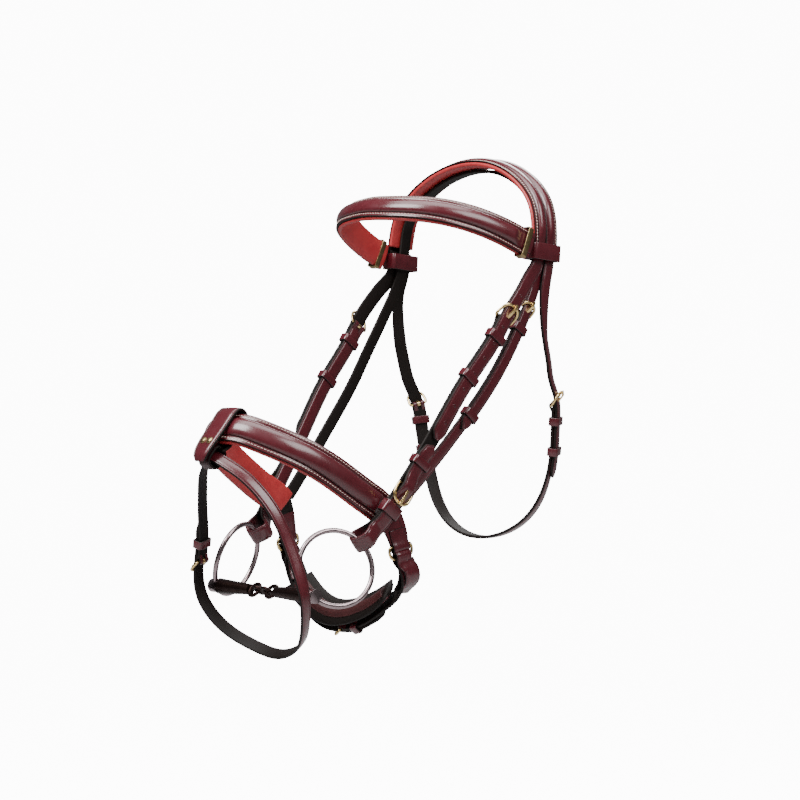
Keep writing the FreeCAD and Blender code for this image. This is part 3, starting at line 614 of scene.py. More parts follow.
def padding_profile(bulge):
    """Soft padding: rounded sides and a full back."""
    left = [(-1, PADDING_ROUND * (1 - math.cos(turn)), 0.5 + 0.5 * math.sin(turn), 0, 0, 0.0)
            for turn in np.linspace(-0.5, 0.5, 9) * math.pi]
    back = [(side, 0, 0, 0, -bulge * (1 - side * side), 0.0) for side in (0.7, 0.35, 0.0, -0.35, -0.7)]
    return left + [(0, 0, 1, 0.1, 0, 0)] + mirrored(left) + back


END_SHRINK = 0.86
END_REACH = 0.5 * MM


def rounded_off(ring, way):
    """A smaller copy of an end ring, a little further on."""
    middle = ring.mean(0)
    return middle + (ring - middle) * END_SHRINK + way * END_REACH


def swept(strip, profile, amount=None, full_half=4.0, tone_scale=None):
    """Vertices, faces and tones of a profile drawn along a ribbon, rounded off at both ends.

    amount scales the ridge and the last argument the dark tone, row by row. Insets shrink with the strip
    where half its width is under full_half mm.
    """
    side, inset, level, lift, ridge, tone = np.array(profile, float).T
    share = ((1 + side) / 2)[:, None]
    count = len(strip.centre)
    amount = np.ones(count) if amount is None else amount
    tone_scale = np.ones(count) if tone_scale is None else tone_scale
    rows = []
    for i in range(count):
        narrow = min(1.0, strip.half[i] / (full_half * MM))
        left = strip.bl[i] + np.outer(level, strip.fl[i] - strip.bl[i])
        right = strip.br[i] + np.outer(level, strip.fr[i] - strip.br[i])
        rows.append(left * (1 - share) + right * share
                    + np.outer(inset * MM * narrow, strip.across[i])
                    + np.outer((lift + ridge * amount[i]) * MM, strip.out[i]))
    rows = [rounded_off(rows[0], -strip.along[0])] + rows + [rounded_off(rows[-1], strip.along[-1])]
    size, last = len(profile), (len(rows) - 1) * len(profile)
    start, end = last + size, last + size + 1
    verts = np.vstack(rows + [rows[0].mean(0), rows[-1].mean(0)])
    faces = ring_faces(len(rows), size)
    for j in range(size):
        n = (j + 1) % size
        faces.append((start, j, n))
        faces.append((end, last + n, last + j))
    tones = np.concatenate([np.ones(size), np.outer(tone_scale, tone).ravel(), np.ones(size + 2)])
    return verts, faces, tones


def joined(parts):
    """Several (verts, faces, tones) as one."""
    verts, faces, tones, offset = [], [], [], 0
    for v, f, t in parts:
        verts.append(v)
        faces += [tuple(n + offset for n in face) for face in f]
        tones.append(t)
        offset += len(v)
    return np.vstack(verts), faces, np.concatenate(tones)


def strap(name, strip, profile, material, node, amount=None, extra=(), tone_scale=None):
    """A strap that stands for its CAD node. extra holds further parts of the same piece."""
    verts, faces, tones = joined([swept(strip, profile, amount, tone_scale=tone_scale), *extra])
    add_piece(name, verts, faces, [material], body_of(node), tones, stands_for=(node,))


# A stitch as (place along it, thickness share, height in mm) from end to end.
STITCH_SHAPE = [(-0.5, 0.35, -0.18), (-0.30, 0.9, 0.0), (0.0, 1.05, 0.06), (0.30, 0.9, 0.0),
                (0.5, 0.35, -0.18)]
STITCH = 2.3 * MM
STITCH_PITCH = 3.1 * MM
STITCH_RADIUS = 0.42 * MM
STITCH_SLANT = 0.10
STITCH_SIDES = 6


def stitched(node, inset, lift, stop_short):
    """Saddle stitches along both edges of a strap: inset, lift and stop_short in mm."""
    strip = rib[node]
    verts, faces, offset = [], [], 0
    ring = [(math.cos(a), math.sin(a)) for a in circle(STITCH_SIDES)]
    last = (len(STITCH_SHAPE) - 1) * STITCH_SIDES
    for edge in (-1, 1):
        at = stop_short * MM + STITCH_PITCH / 2
        while at < strip.length - stop_short * MM:
            centre, along, across, out, half, deep = strip.at(at)
            base = centre + across * edge * (half - inset * MM) + out * (deep + lift * MM)
            slant = unit(along + across * STITCH_SLANT)
            for place, fat, height in STITCH_SHAPE:
                middle = base + slant * place * STITCH + out * height * MM
                for c, s in ring:
                    verts.append(middle + (across * c + out * s) * fat * STITCH_RADIUS)
            faces += ring_faces(len(STITCH_SHAPE), STITCH_SIDES, offset)
            faces.append(tuple(offset + j for j in range(STITCH_SIDES)))
            faces.append(tuple(offset + last + j for j in reversed(range(STITCH_SIDES))))
            offset += last + STITCH_SIDES
            at += STITCH_PITCH
    add_piece(f"{node}_stitches", verts, faces, [THREAD], body_of(node))


# A punched hole as (radius, height in mm) from its pressed rim in. It is dark from its third ring: the
# cut edge, and a closed bottom that is painted shade where the hole would show through.
HOLE_SHAPE = [(1.75, 0.09), (1.55, 0.44), (1.25, 0.50), (1.0, 0.40), (0.92, 0.22), (0.0, 0.22)]
HOLE_RADIUS = 1.08 * MM
HOLE_PITCH = 19 * MM
HOLE_SIDES = 16
HOLE_DARK_FROM = 2


def holes(node, first, count):
    """A row of punched holes. The first is this many mm from the tip."""
    strip = rib[node]
    verts, faces, slots = [], [], []
    for number in range(count):
        centre, along, across, out, _, deep = strip.at(strip.length - first * MM - number * HOLE_PITCH)
        faces += ring_faces(len(HOLE_SHAPE), HOLE_SIDES, len(verts))
        slots += [int(ring >= HOLE_DARK_FROM) for ring in range(len(HOLE_SHAPE) - 1)
                  for _ in range(HOLE_SIDES)]
        for share, height in HOLE_SHAPE:
            for a in circle(HOLE_SIDES):
                verts.append(centre + (along * math.cos(a) + across * math.sin(a)) * share * HOLE_RADIUS
                             + out * (deep + height * MM))
    add_piece(f"{node}_holes", verts, faces, [OXBLOOD, EDGE_AND_SHADE], body_of(node), face_slots=slots)


EDGE_ON = 0.7
FLAT_ANGLE = math.radians(1.5)
HARD_ANGLE = math.radians(30)


def cut_edges(ribbons):
    """A rule that picks the faces of a loop that look along the strap it sits on."""
    centres = np.vstack([r.centre for r in ribbons])
    ways = np.vstack([r.along for r in ribbons])

    def rule(middle, normal):
        nearest = int(np.argmin(np.linalg.norm(centres - middle, axis=1)))
        return abs(float(ways[nearest] @ normal)) > EDGE_ON

    return rule


def softened(name, node, materials, bevel, rule=None, segments=3):
    """A CAD node with its hard edges rolled over by bevel mm.

    Faces that the rule picks take the second material.
    """
    work = bmesh.new()
    work.from_mesh(NODES[node].data)
    bmesh.ops.remove_doubles(work, verts=work.verts, dist=MERGE)
    bmesh.ops.recalc_face_normals(work, faces=work.faces)
    bmesh.ops.dissolve_limit(work, angle_limit=FLAT_ANGLE, verts=work.verts, edges=work.edges)
    if rule is not None:
        for face in work.faces:
            if rule(np.array(face.calc_center_median()), np.array(face.normal)):
                face.material_index = 1
    mesh = bpy.data.meshes.new(name)
    work.to_mesh(mesh)
    work.free()
    for material in materials:
        mesh.materials.append(material)
    mesh.polygons.foreach_set("use_smooth", np.ones(len(mesh.polygons), bool))
    piece = bpy.data.objects.new(name, mesh)
    bpy.context.scene.collection.objects.link(piece)
    if bevel:
        soften = piece.modifiers.new("rolled_edges", "BEVEL")
        soften.width = bevel * MM
        soften.segments = segments
        soften.limit_method = "ANGLE"
        soften.angle_limit = HARD_ANGLE
        soften.harden_normals = True
    settle(piece, body_of(node), (node,))


# -------------------- the straps of the frame

PLAIN_STRAPS = ("cheek_billet_left", "cheek_billet_right", "noseband_hanger", "sliphead",
                "throatlatch", "throat_billet_left", "throat_billet_right", "chin_strap_left",
                "chin_strap_right", "flash_strap")
PADDINGS = ("browband_padding", "headpiece_padding", "noseband_padding")
rib = {node: ribbon(node)
       for node in ("browband", "headpiece", "noseband", "chin_pad", *PADDINGS, *PLAIN_STRAPS)}
for side in SIDES:
    rib[f"cheekpiece_{side}"] = ribbon(f"cheekpiece_{side}", long_front=True)

# The cheekpiece's two layers stand apart by LOOP_SPREAD above the ring, closing again over
# LOOP_CLOSE, and the loop is twisted about the way it hangs. All in mm from its lowest point.
LOOP_SPREAD = 5.5
LOOP_START = 3
LOOP_FULL = 13
LOOP_CLOSE = 15
LOOP_HANG = 20
LOOP_PIVOT = 3
LOOP_TWIST = math.radians(24)
TWIST_FADE = (4, 26)
# Near the ring the dark tone of the loop's edges and back falls to the least share below, coming back
# over this span: a painted highlight, as if they were lit.
LIT_LOOP_FADE = (16, 30)
LIT_LOOP_TONE = 0.25


def ring_loop(wrap, ring_spot, sign):
    """The cheekpiece opened out and twisted where it carries its ring, and a scale for its dark tone
    that fades near the ring: a painted highlight, so that the loop's edges and back look lit.
    """
    turn = int(np.argmin(np.abs(np.linalg.norm(wrap.centre - ring_spot, axis=1))))
    turn_at, turn_spot = wrap.distance[turn], wrap.centre[turn]
    away = np.abs(wrap.distance - turn_at) / MM
    spread = LOOP_SPREAD * smooth(LOOP_START, LOOP_FULL, away)
    spread *= 1 - smooth(LOOP_FULL, LOOP_FULL + LOOP_CLOSE, away)
    hung_at = int(np.argmin(np.abs(wrap.distance - turn_at + LOOP_HANG * MM)))
    hang = unit(wrap.centre[hung_at] - turn_spot)
    pivot = turn_spot + hang * LOOP_PIVOT * MM
    twist = LOOP_TWIST * (1 - smooth(*TWIST_FADE, away)) * sign
    corners = []
    for corner in (wrap.fl, wrap.fr, wrap.bl, wrap.br):
        offset = corner + wrap.out * spread[:, None] * MM - pivot
        along_hang = np.outer(offset @ hang, hang)
        flat_part = offset - along_hang
        corners.append(pivot + along_hang + flat_part * np.cos(twist)[:, None]
                       + np.cross(hang, flat_part) * np.sin(twist)[:, None])
    return Ribbon(corners), LIT_LOOP_TONE + (1 - LIT_LOOP_TONE) * smooth(*LIT_LOOP_FADE, away)


FLAT = flat_profile()
for node in PLAIN_STRAPS:
    strap(f"{node}_leather", rib[node], FLAT, OXBLOOD, node)
for side, sign in SIDES.items():
    node = f"cheekpiece_{side}"
    rib[node], tone_scale = ring_loop(rib[node], pivot(f"ring_spin_{side}")[0], sign)
    strap(f"{node}_leather", rib[node], FLAT, OXBLOOD, node, tone_scale=tone_scale)


def raised(strip, least, clear, fade):
    """How far a ridge stands up along a strap: least to clear mm from each end, then full."""
    from_end = np.minimum(strip.distance, strip.length - strip.distance)
    return least + (1 - least) * smooth(clear * MM, (clear + fade) * MM, from_end)


# The stitched margins lie this far below the CAD strap's face. The noseband's ridge is pressed
# down under the flash tab.
MARGIN_LOW = -1.7
STITCH_LIFT = MARGIN_LOW + 0.30
UNDER_TAB = 0.45
TAB_FADE = (9 * MM, 17 * MM)
brow, nose, poll = rib["browband"], rib["noseband"], rib["headpiece"]
from_tab = np.abs(nose.distance - nose.length / 2)
strap("browband_leather", brow, raised_profile(5.2, MARGIN_LOW, 3.0), OXBLOOD, "browband",
      amount=raised(brow, 0.15, 16, 10))
stitched("browband", 2.6, STITCH_LIFT, 8)
strap("noseband_leather", nose, raised_profile(5.6, MARGIN_LOW, 3.4), OXBLOOD, "noseband",
      amount=raised(nose, 0, 36, 14) * (UNDER_TAB + (1 - UNDER_TAB) * smooth(*TAB_FADE, from_tab)))
stitched("noseband", 2.8, STITCH_LIFT, 34)
strap("headpiece_leather", poll, raised_profile(4.6, MARGIN_LOW, 1.8, ridges=2), OXBLOOD,
      "headpiece", amount=raised(poll, 0.25, 14, 16))
stitched("headpiece", 2.4, STITCH_LIFT, 6)
for node in PADDINGS:
    strap(f"{node}_soft", rib[node], padding_profile(1.6), RED, node)

# -------------------- keepers and loops

KEEPERS = {
    "cheek_keepers": ("cheekpiece_left", "cheekpiece_right"),
    "cheek_slider_left": ("cheekpiece_left",), "cheek_slider_right": ("cheekpiece_right",),
    "noseband_loops": ("cheekpiece_left", "cheekpiece_right"),
    "sliphead_keeper": ("noseband_hanger",), "sliphead_slider": ("noseband_hanger",),
    "throat_keepers": ("throatlatch",), "throat_slider_left": ("throatlatch",),
    "throat_slider_right": ("throatlatch",), "chin_keeper": ("chin_strap_left",),
    "flash_keeper": ("flash_strap",), "browband_loops": ("headpiece",),
}
KEEPER_BEVEL = 0.5
for node, on in KEEPERS.items():
    softened(f"{node}_leather", node, [OXBLOOD, EDGE_AND_SHADE], KEEPER_BEVEL,
             rule=cut_edges([rib[n] for n in on]))

# -------------------- folds round bars


def local_frame(spot, bar_way, to_strap):
    """A bar's middle, its way, the way from it to the strap, and the way out from the head."""
    to_strap = unit(to_strap - bar_way * (to_strap @ bar_way))
    normal = unit(np.cross(bar_way, to_strap))
    if normal @ outwards(spot[None])[0] < 0:
        normal = -normal
    to_strap = unit(np.cross(normal, bar_way)) * np.sign(np.cross(normal, bar_way) @ to_strap)
    return spot, bar_way, to_strap, normal


def bar_frame(joint, strip):
    """The local frame of the bar on a joint's axis, with the nearest point of its strap."""
    spot, bar_way = pivot(joint)
    nearest = strip.centre[int(np.argmin(np.linalg.norm(strip.centre - spot, axis=1)))]
    return local_frame(spot, bar_way, nearest - spot)


def laid_out(place, shape):
    """A fold's path from (distance along the strap, distance out) in mm."""
    spot, _, along, out = place
    return [spot + along * d * MM + out * h * MM for d, h in shape]


FOLD_PROFILE = flat_profile(0.0, 1.0, 0.5)
FOLD_FULL_HALF = 3.0


def folded(name, place, path, width, thick, body, gap=0.0):
    """A leather fold, in mm. With a gap it is two strips, one either side of a tongue."""
    spot, bar_way, along, out = place
    strip_width, shifts = width, [0.0]
    if gap:
        strip_width = (width - gap) / 2
        shifts = [-(strip_width + gap) / 2, (strip_width + gap) / 2]
    parts = []
    for shift in shifts:
        rows = made_ribbon(np.array(path) + bar_way * shift * MM, bar_way, strip_width * MM,
                           thick * MM, out)
        bend = int(np.argmax((rows.centre - spot) @ -along))
        if (rows.centre[bend] - spot) @ rows.out[bend] < 0:
            rows = Ribbon([rows.bl, rows.br, rows.fl, rows.fr])
        parts.append(swept(rows, FOLD_PROFILE, full_half=FOLD_FULL_HALF))
    verts, faces, tones = joined(parts)
    add_piece(name, verts, faces, [OXBLOOD], body, tones)


# Fold shapes as (distance along the strap, distance out from the bar) in mm.
CHAPE = [(11, 1.55), (6, 1.6), (2.4, 1.95), (0, 2.2), (-1.55, 1.55), (-2.2, 0), (-1.55, -1.55),
         (0, -2.2), (3, -2.0), (8, -1.75), (22, -1.75)]
CHAPE_THICK = 1.3
CHAPE_GAP = 3.6
FLASH_START = 40 * MM
chapes = []
for side in SIDES:
    chapes += [(f"cheek_chape_{side}", f"cheek_tongue_{side}", f"cheekpiece_{side}", 15.6),
               (f"throat_chape_{side}", f"throat_tongue_{side}", "throatlatch", 12.6)]
chapes += [("hanger_chape", "sliphead_tongue", "noseband_hanger", 12.6),
           ("chin_chape", "chin_tongue", "chin_strap_left", 19.4),
           ("flash_chape", "flash_tongue", "flash_strap", 11.6)]
for name, tongue, node, width in chapes:
    strip = rib[node].part(0, FLASH_START) if node == "flash_strap" else rib[node]
    place = bar_frame(f"{tongue}_play", strip)
    folded(name, place, laid_out(place, CHAPE), width, CHAPE_THICK, body_of(node), CHAPE_GAP)

DEE_FOLD = [(15, -0.1), (9, 0.15), (4, 1.1), (0, 2.35), (-3.6, 2.1), (-5.9, 0), (-3.6, -2.1),
            (0, -2.35), (5, -2.4), (16, -3.0), (24, -3.0)]
DEE_FOLD_SIZE = (19.0, 1.7)
LOOP_INSIDE = [(30, -1.0), (20, -1.3), (10, -2.1), (5, -2.9)]
LOOP_BEND = [(0, -3.5), (-4.2, -3.2), (-6.6, -0.6), (-5.6, 2.0), (-2.4, 3.0), (1.6, 3.6)]
LOOP_OUTSIDE = [(6, 4.6), (11, 5.6), (16, 5.6), (21, 4.4), (26, 2.9), (31, 2.2)]
CHIN_LOOP_SIZE = (17.5, 1.8)
NOSE_TAIL = 50 * MM
CHIN_TAIL = 30 * MM


def beside_strap(strip, shape):
    """Points that keep (distance along, distance out) in mm from a strap's middle line."""
    places = [(strip.at(d * MM), h) for d, h in shape]
    return [place[0] + place[3] * h * MM for place, h in places]


for side, sign in SIDES.items():
    tail = max(nose.ends(NOSE_TAIL), key=lambda end: sign * end.centre[0][0])
    upper = bar_frame(f"chin_dee_{side}_play", tail)
    folded(f"noseband_fold_{side}", upper, laid_out(upper, DEE_FOLD), *DEE_FOLD_SIZE, ROOT)
    corners = np.array([v.co for v in NODES[f"chin_dee_{side}"].data.vertices])
    to_middle = (corners.min(0) + corners.max(0)) / 2 - upper[0]
    lower_spot = upper[0] + 2 * (to_middle - upper[1] * (to_middle @ upper[1]))
    chin = rib[f"chin_strap_{side}"]
    near = min(chin.ends(CHIN_TAIL),
               key=lambda end: np.linalg.norm(end.centre - lower_spot, axis=1).min())
    furthest = int(np.argmax(np.linalg.norm(near.centre - lower_spot, axis=1)))
    lower = local_frame(lower_spot, upper[1], near.centre[furthest] - lower_spot)
    start_gap, end_gap = np.linalg.norm(chin.centre[[0, -1]] - lower_spot, axis=1)
    from_dee = chin if start_gap < end_gap else chin.reverse()
    path = (beside_strap(from_dee, LOOP_INSIDE) + laid_out(lower, LOOP_BEND)
            + beside_strap(from_dee, LOOP_OUTSIDE))
    folded(f"chin_loop_{side}", lower, path, *CHIN_LOOP_SIZE, ROOT)

# -------------------- flash tab

# The tab as (distance down, distance out, width) in mm from the middle of the noseband's front.
TAB_WRAP = [(40, 0.4, 14), (36, 3.0, 20), (30, 4.4, 23.5), (20, 4.8, 26), (8, 4.6, 27),
            (-4, 4.6, 27.5), (-13, 4.3, 28), (-18.6, 2.0, 28), (-20.2, -3.5, 28), (-17.5, -9.0, 27),
            (-9, -10.6, 27), (4, -10.8, 26), (16, -10.6, 25), (22, -8.0, 24)]
TAB_THICK = 2.4 * MM
# The slot that the flash strap runs through is a rounded oblong of these half sizes.
SLOT_HALF_LENGTH = 9.8 * MM
SLOT_HALF_DEPTH = 6.6 * MM
SLOT_INWARDS = 1.6 * MM
SLOT_SQUARE = 0.6
SLOT_START = -0.25
SLOT_POINTS = 25
SLOT_WIDTH = 15.5 * MM
SLOT_THICK = 2.2 * MM
# The slot loop takes at least this much of the dark tone all over: painted shade under the tab.
SLOT_SHADE_TONE = 0.45


def squared(value, power):
    """A sine or cosine pulled towards the corners of a square."""
    return math.copysign(abs(value) ** power, value)


tab_centre, tab_along, tab_across, tab_out, _, _ = nose.at(nose.length / 2)
if tab_across @ DOWN < 0:
    tab_across = -tab_across
tab_rows = made_ribbon([tab_centre + tab_across * x * MM + tab_out * h * MM for x, h, _ in TAB_WRAP],
                       tab_along, [width * MM for _, _, width in TAB_WRAP], TAB_THICK, tab_out)
flash_spot = pivot("flash_swing")[0]
slot_path = [flash_spot + DOWN * SLOT_HALF_LENGTH * squared(math.cos(t), SLOT_SQUARE)
             + DORSAL * (SLOT_HALF_DEPTH * squared(math.sin(t), SLOT_SQUARE) - SLOT_INWARDS)
             for t in np.linspace(SLOT_START, SLOT_START + 2 * math.pi, SLOT_POINTS)]
slot_rows = made_ribbon(slot_path, ACROSS, SLOT_WIDTH, SLOT_THICK, DOWN)
slot_verts, slot_faces, slot_tones = swept(slot_rows, flat_profile(0.1, 1.4, 0.8))
strap("flash_tab_leather", tab_rows, flat_profile(0.35, 2.0, 1.0), OXBLOOD, "flash_tab",
      extra=[(slot_verts, slot_faces, np.maximum(slot_tones, SLOT_SHADE_TONE))])

# -------------------- chin pad

LINING_INSET = 8.0 * MM
LINING_FRONT = 0.6 * MM
LINING_BACK = 1.4 * MM
LINING_END = 6 * MM
pad = rib["chin_pad"]
strap("chin_pad_leather", pad, raised_profile(3.4, -1.4, 1.6), OXBLOOD, "chin_pad")
lining_left, lining_right = pad.bl + pad.across * LINING_INSET, pad.br - pad.across * LINING_INSET
front, back = pad.out * LINING_FRONT, pad.out * LINING_BACK
lining = Ribbon([lining_left + front, lining_right + front, lining_left - back, lining_right - back])
verts, faces, tones = swept(lining.part(LINING_END, pad.length - LINING_END), padding_profile(1.8))
# The lining takes the near-black red: painted shade inside the pad.
add_piece("chin_pad_red", verts, faces, [PAINTED_SHADE_RED], body_of("chin_pad"), tones)

# -------------------- buckles, dees and rivets

# A wire frame's bar is thinner than the rest. Shares are of half the frame's width.
WIRE = 3.0 * MM
WIRE_SIDES = 20
WIRE_SQUEEZE = 0.88
BAR_RADIUS = 1.3
FRAME_RADIUS = 1.5
THICKENING = (0.5 * MM, 3 * MM)
BAR_SHARE = 0.86
CORNER_SHARE = 0.985
CORNER_RISE = 0.5 * MM
LEG_START = 1.8 * MM
LEG_BOW = 0.03
LEG_POINTS = (0.3, 0.65)
ARC_SQUARE = 0.8
ARC_POINTS = 25
OUTLINE_POINTS = 120
SMOOTHING = np.array([1, 2, 3, 2, 1]) / 9


def tube(path, radii, normal):
    """A closed wire along a flat path of points."""
    count = len(path)
    verts, faces = [], []
    for i in range(count):
        beside = unit(np.cross(unit(path[(i + 1) % count] - path[i - 1]), normal))
        for a in circle(WIRE_SIDES):
            verts.append(path[i] + (beside * math.cos(a) + normal * math.sin(a) * WIRE_SQUEEZE)
                         * radii[i])
    for i in range(count):
        m = (i + 1) % count * WIRE_SIDES
        for j in range(WIRE_SIDES):
            n = (j + 1) % WIRE_SIDES
            faces.append((i * WIRE_SIDES + j, m + j, m + n, i * WIRE_SIDES + n))
    return verts, faces


def rounded_round(values):
    """A closed row of values with its corners eased."""
    return np.convolve(np.concatenate([values[-2:], values, values[:2]]), SMOOTHING, "valid")


def wire_frame(node, joint, round_share):
    """A buckle or dee in round wire: a straight bar, two legs and a rounded end."""
    spot, bar_way = pivot(joint)
    points = np.array([v.co for v in NODES[node].data.vertices])
    middle = points.mean(0) - spot
    reach_way = unit(middle - bar_way * (middle @ bar_way))
    half = np.abs((points - spot) @ bar_way).max() - WIRE / 2
    reach = ((points - spot) @ reach_way).max() - WIRE / 2
    bend = reach * round_share
    corner = [(half * CORNER_SHARE, CORNER_RISE), (half, LEG_START)]
    legs = [(half * (1 + LEG_BOW * math.sin(math.pi * t)), LEG_START + (reach - bend - LEG_START) * t)
            for t in LEG_POINTS]
    arc = [(half * squared(math.cos(a), ARC_SQUARE), reach - bend + bend * abs(math.sin(a)) ** ARC_SQUARE)
           for a in np.linspace(0, math.pi, ARC_POINTS)]
    far_side = [(-x, y) for x, y in reversed(corner + legs)]
    outline = [(-half * BAR_SHARE, 0), (0, 0), (half * BAR_SHARE, 0)] + corner + legs + arc + far_side
    closed = np.array(outline + outline[:1])
    at = run(closed)
    even = np.linspace(0, at[-1], OUTLINE_POINTS + 1)[:-1]
    x, y = (rounded_round(np.interp(even, at, closed[:, i])) for i in range(2))
    path = spot + np.outer(x, bar_way) + np.outer(y, reach_way)
    radii = (BAR_RADIUS + (FRAME_RADIUS - BAR_RADIUS) * smooth(*THICKENING, y)) * MM
    verts, faces = tube(path, radii, unit(np.cross(bar_way, reach_way)))
    add_piece(f"{node}_brass", verts, faces, [BRASS], body_of(node), stands_for=(node,))


for side in SIDES:
    wire_frame(f"cheek_buckle_{side}", f"cheek_tongue_{side}_play", 0.62)
    wire_frame(f"bit_buckle_{side}", f"bit_tongue_{side}_play", 0.62)
    wire_frame(f"throat_buckle_{side}", f"throat_tongue_{side}_play", 0.60)
    wire_frame(f"chin_dee_{side}", f"chin_dee_{side}_play", 0.45)
for name in ("sliphead", "chin", "flash"):
    wire_frame(f"{name}_buckle", f"{name}_tongue_play", 0.6)
for node in NODES:
    if "tongue" in node:
        softened(f"{node}_brass", node, [BRASS], 0.75, segments=4)
softened("browband_clips_brass", "browband_clips", [ANTIQUE], 0.35)

# A domed rivet as (radius, height) in mm. Two sit side by side near the tab's lower end.
RIVET_SHAPE = [(3.5, -0.4), (3.5, 0.5), (3.2, 1.1), (2.3, 1.7), (1.1, 2.0), (0.05, 2.1)]
RIVET_SIDES = 24
RIVET_SHIFT = 4.4
RIVET_ALONG = 20 * MM
RIVET_LIFT = 0.1 * MM


def rivet(shift):
    """One dome on the tab, shift mm from its middle line."""
    spot, way, beside, out, _, deep = tab_rows.at(RIVET_ALONG)
    base = spot + beside * shift * MM + out * (deep + RIVET_LIFT)
    verts = [base + ((way * math.cos(a) + beside * math.sin(a)) * radius + out * height) * MM
             for radius, height in RIVET_SHAPE for a in circle(RIVET_SIDES)]
    last = len(verts) - RIVET_SIDES
    faces = ring_faces(len(RIVET_SHAPE), RIVET_SIDES)
    faces += [tuple(range(RIVET_SIDES)), tuple(last + j for j in range(RIVET_SIDES))]
    return np.array(verts), faces, np.zeros(len(verts))


verts, faces, tones = joined([rivet(-RIVET_SHIFT), rivet(RIVET_SHIFT)])
add_piece("flash_rivets_brass", verts, faces, [ANTIQUE], body_of("flash_rivets"),
          stands_for=("flash_rivets",))

# -------------------- the bit and the punched holes

# The dark cannons end in bright barrels, this far inside the ring's middle and outwards.
BARREL_START = abs(ring_left[0]) - 15.5 * MM
for side in SIDES:
    softened(f"bit_ring_{side}_steel", f"bit_ring_{side}", [STEEL], 0)
    softened(f"bit_cannon_{side}_iron", f"bit_cannon_{side}", [IRON, STEEL], 0.4,
             rule=lambda middle, normal: abs(middle[0]) > BARREL_START)
softened("bit_link_iron", "bit_link", [IRON], 0)

for side in SIDES:
    holes(f"cheek_billet_{side}", 22, 9)
    holes(f"throat_billet_{side}", 18, 4)

# -------------------- floor, light and camera

VIEW_AZIMUTH = 48.0
VIEW_ELEVATION = 0.0
VIEW_DISTANCE = 2.0
LENS_MM = 92.8
SENSOR_MM = 36.0
AIM = Vector((0.0129, -0.1175, -0.2336))
WORLD_LIGHT = 0.13
# The surroundings shine this much brighter to the camera than they light the bridle.
BACKDROP_GLOW = 12.0
BACKDROP_TONE = (0.50, 0.50, 0.505, 1)
BACKDROP_ROUGHNESS = 0.9
FLOOR_DROP = 0.30
FLOOR_FRONT = -4.0
WALL_BACK = 3.0
WALL_HIGH = 4.0
WALL_HALF_WIDTH = 5.0
WALL_CURVE = 0.8
CURVE_ROWS = 24
centre = (cad_low + cad_high) / 2


def towards(azimuth, elevation):
    """The way from the bridle to something at this azimuth and elevation."""
    a, e = math.radians(azimuth), math.radians(elevation)
    return Vector((math.sin(a) * math.cos(e), -math.cos(a) * math.cos(e), math.sin(e)))


def place_facing(item, way, target, distance):
    """Puts a lamp or camera at a distance from its target, looking at it."""
    item.location = target + way * distance
    item.rotation_mode = "QUATERNION"
    item.rotation_quaternion = (-way).to_track_quat("-Z", "Y")
    bpy.context.scene.collection.objects.link(item)


def glow_to_camera(tree, everywhere):
    """A strength that adds BACKDROP_GLOW in what the camera sees directly."""
    seen = tree.nodes.new("ShaderNodeLightPath")
    glow = tree.nodes.new("ShaderNodeMath")
    glow.operation = "MULTIPLY_ADD"
    glow.inputs[1].default_value = BACKDROP_GLOW
    glow.inputs[2].default_value = everywhere
    tree.links.new(seen.outputs["Is Camera Ray"], glow.inputs[0])
    return glow.outputs[0]


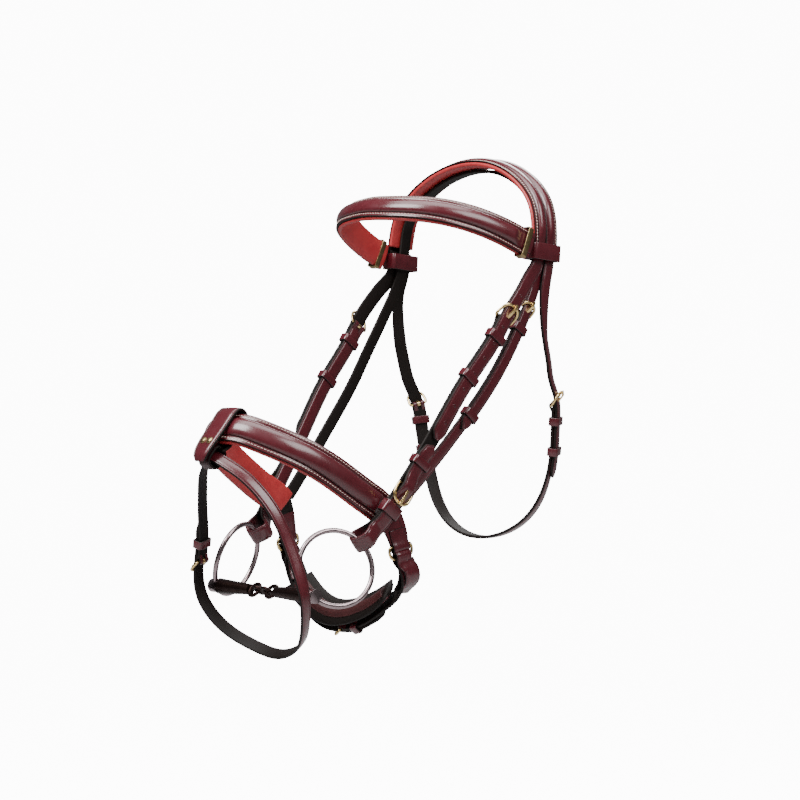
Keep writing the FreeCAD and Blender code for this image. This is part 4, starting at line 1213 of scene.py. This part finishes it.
def backdrop():
    """A pale floor that curves up into a wall behind the bridle."""
    pale = bpy.data.materials.new("pale_floor")
    pale.use_nodes = True
    surface = pale.node_tree.nodes["Principled BSDF"]
    surface.inputs["Roughness"].default_value = BACKDROP_ROUGHNESS
    surface.inputs["Base Color"].default_value = BACKDROP_TONE
    surface.inputs["Emission Color"].default_value = (1, 1, 1, 1)
    pale.node_tree.links.new(glow_to_camera(pale.node_tree, 0.0), surface.inputs["Emission Strength"])
    curve = [(WALL_BACK - WALL_CURVE + WALL_CURVE * math.sin(a), WALL_CURVE - WALL_CURVE * math.cos(a))
             for a in np.linspace(0, math.pi / 2, CURVE_ROWS)]
    back = towards(VIEW_AZIMUTH, 0)
    away, sideways = np.array([-back.x, -back.y]), np.array([-back.y, back.x])
    verts = []
    for distance, height in [(FLOOR_FRONT, 0.0)] + curve + [(WALL_BACK, WALL_HIGH)]:
        for side in (-WALL_HALF_WIDTH, WALL_HALF_WIDTH):
            spot = np.array([centre.x, centre.y]) + away * distance + sideways * side
            verts.append((spot[0], spot[1], cad_low.z - FLOOR_DROP + height))
    mesh = bpy.data.meshes.new("backdrop")
    mesh.from_pydata(verts, [], [(i, i + 1, i + 3, i + 2) for i in range(0, len(verts) - 2, 2)])
    mesh.polygons.foreach_set("use_smooth", np.ones(len(mesh.polygons), bool))
    mesh.materials.append(pale)
    floor = bpy.data.objects.new("backdrop", mesh)
    bpy.context.scene.collection.objects.link(floor)
    floor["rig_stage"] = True


# Softboxes as (name, azimuth from the camera, elevation, distance, width, height, power).
LIGHTS = [("key", -48, 46, 1.6, 0.8, 0.8, 42), ("fill", 42, 40, 1.9, 1.2, 0.8, 26),
          ("top", 0, 82, 1.3, 1.2, 0.8, 18), ("rim", 165, 40, 1.6, 0.8, 0.8, 14)]
backdrop()
for name, azimuth, elevation, distance, wide, high, power in LIGHTS:
    lamp = bpy.data.lights.new(name, "AREA")
    lamp.shape, lamp.size, lamp.size_y, lamp.energy = "RECTANGLE", wide, high, power
    place_facing(bpy.data.objects.new(name, lamp), towards(VIEW_AZIMUTH + azimuth, elevation),
                 centre, distance)

world = bpy.data.worlds.new("studio")
world.use_nodes = True
sky = world.node_tree.nodes["Background"]
sky.inputs["Color"].default_value = (1, 1, 1, 1)
world.node_tree.links.new(glow_to_camera(world.node_tree, WORLD_LIGHT), sky.inputs["Strength"])
bpy.context.scene.world = world

camera_data = bpy.data.cameras.new("camera")
camera_data.lens, camera_data.sensor_width = LENS_MM, SENSOR_MM
camera = bpy.data.objects.new("camera", camera_data)
place_facing(camera, towards(VIEW_AZIMUTH, VIEW_ELEVATION), AIM, VIEW_DISTANCE)
bpy.context.scene.camera = camera

low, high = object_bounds()
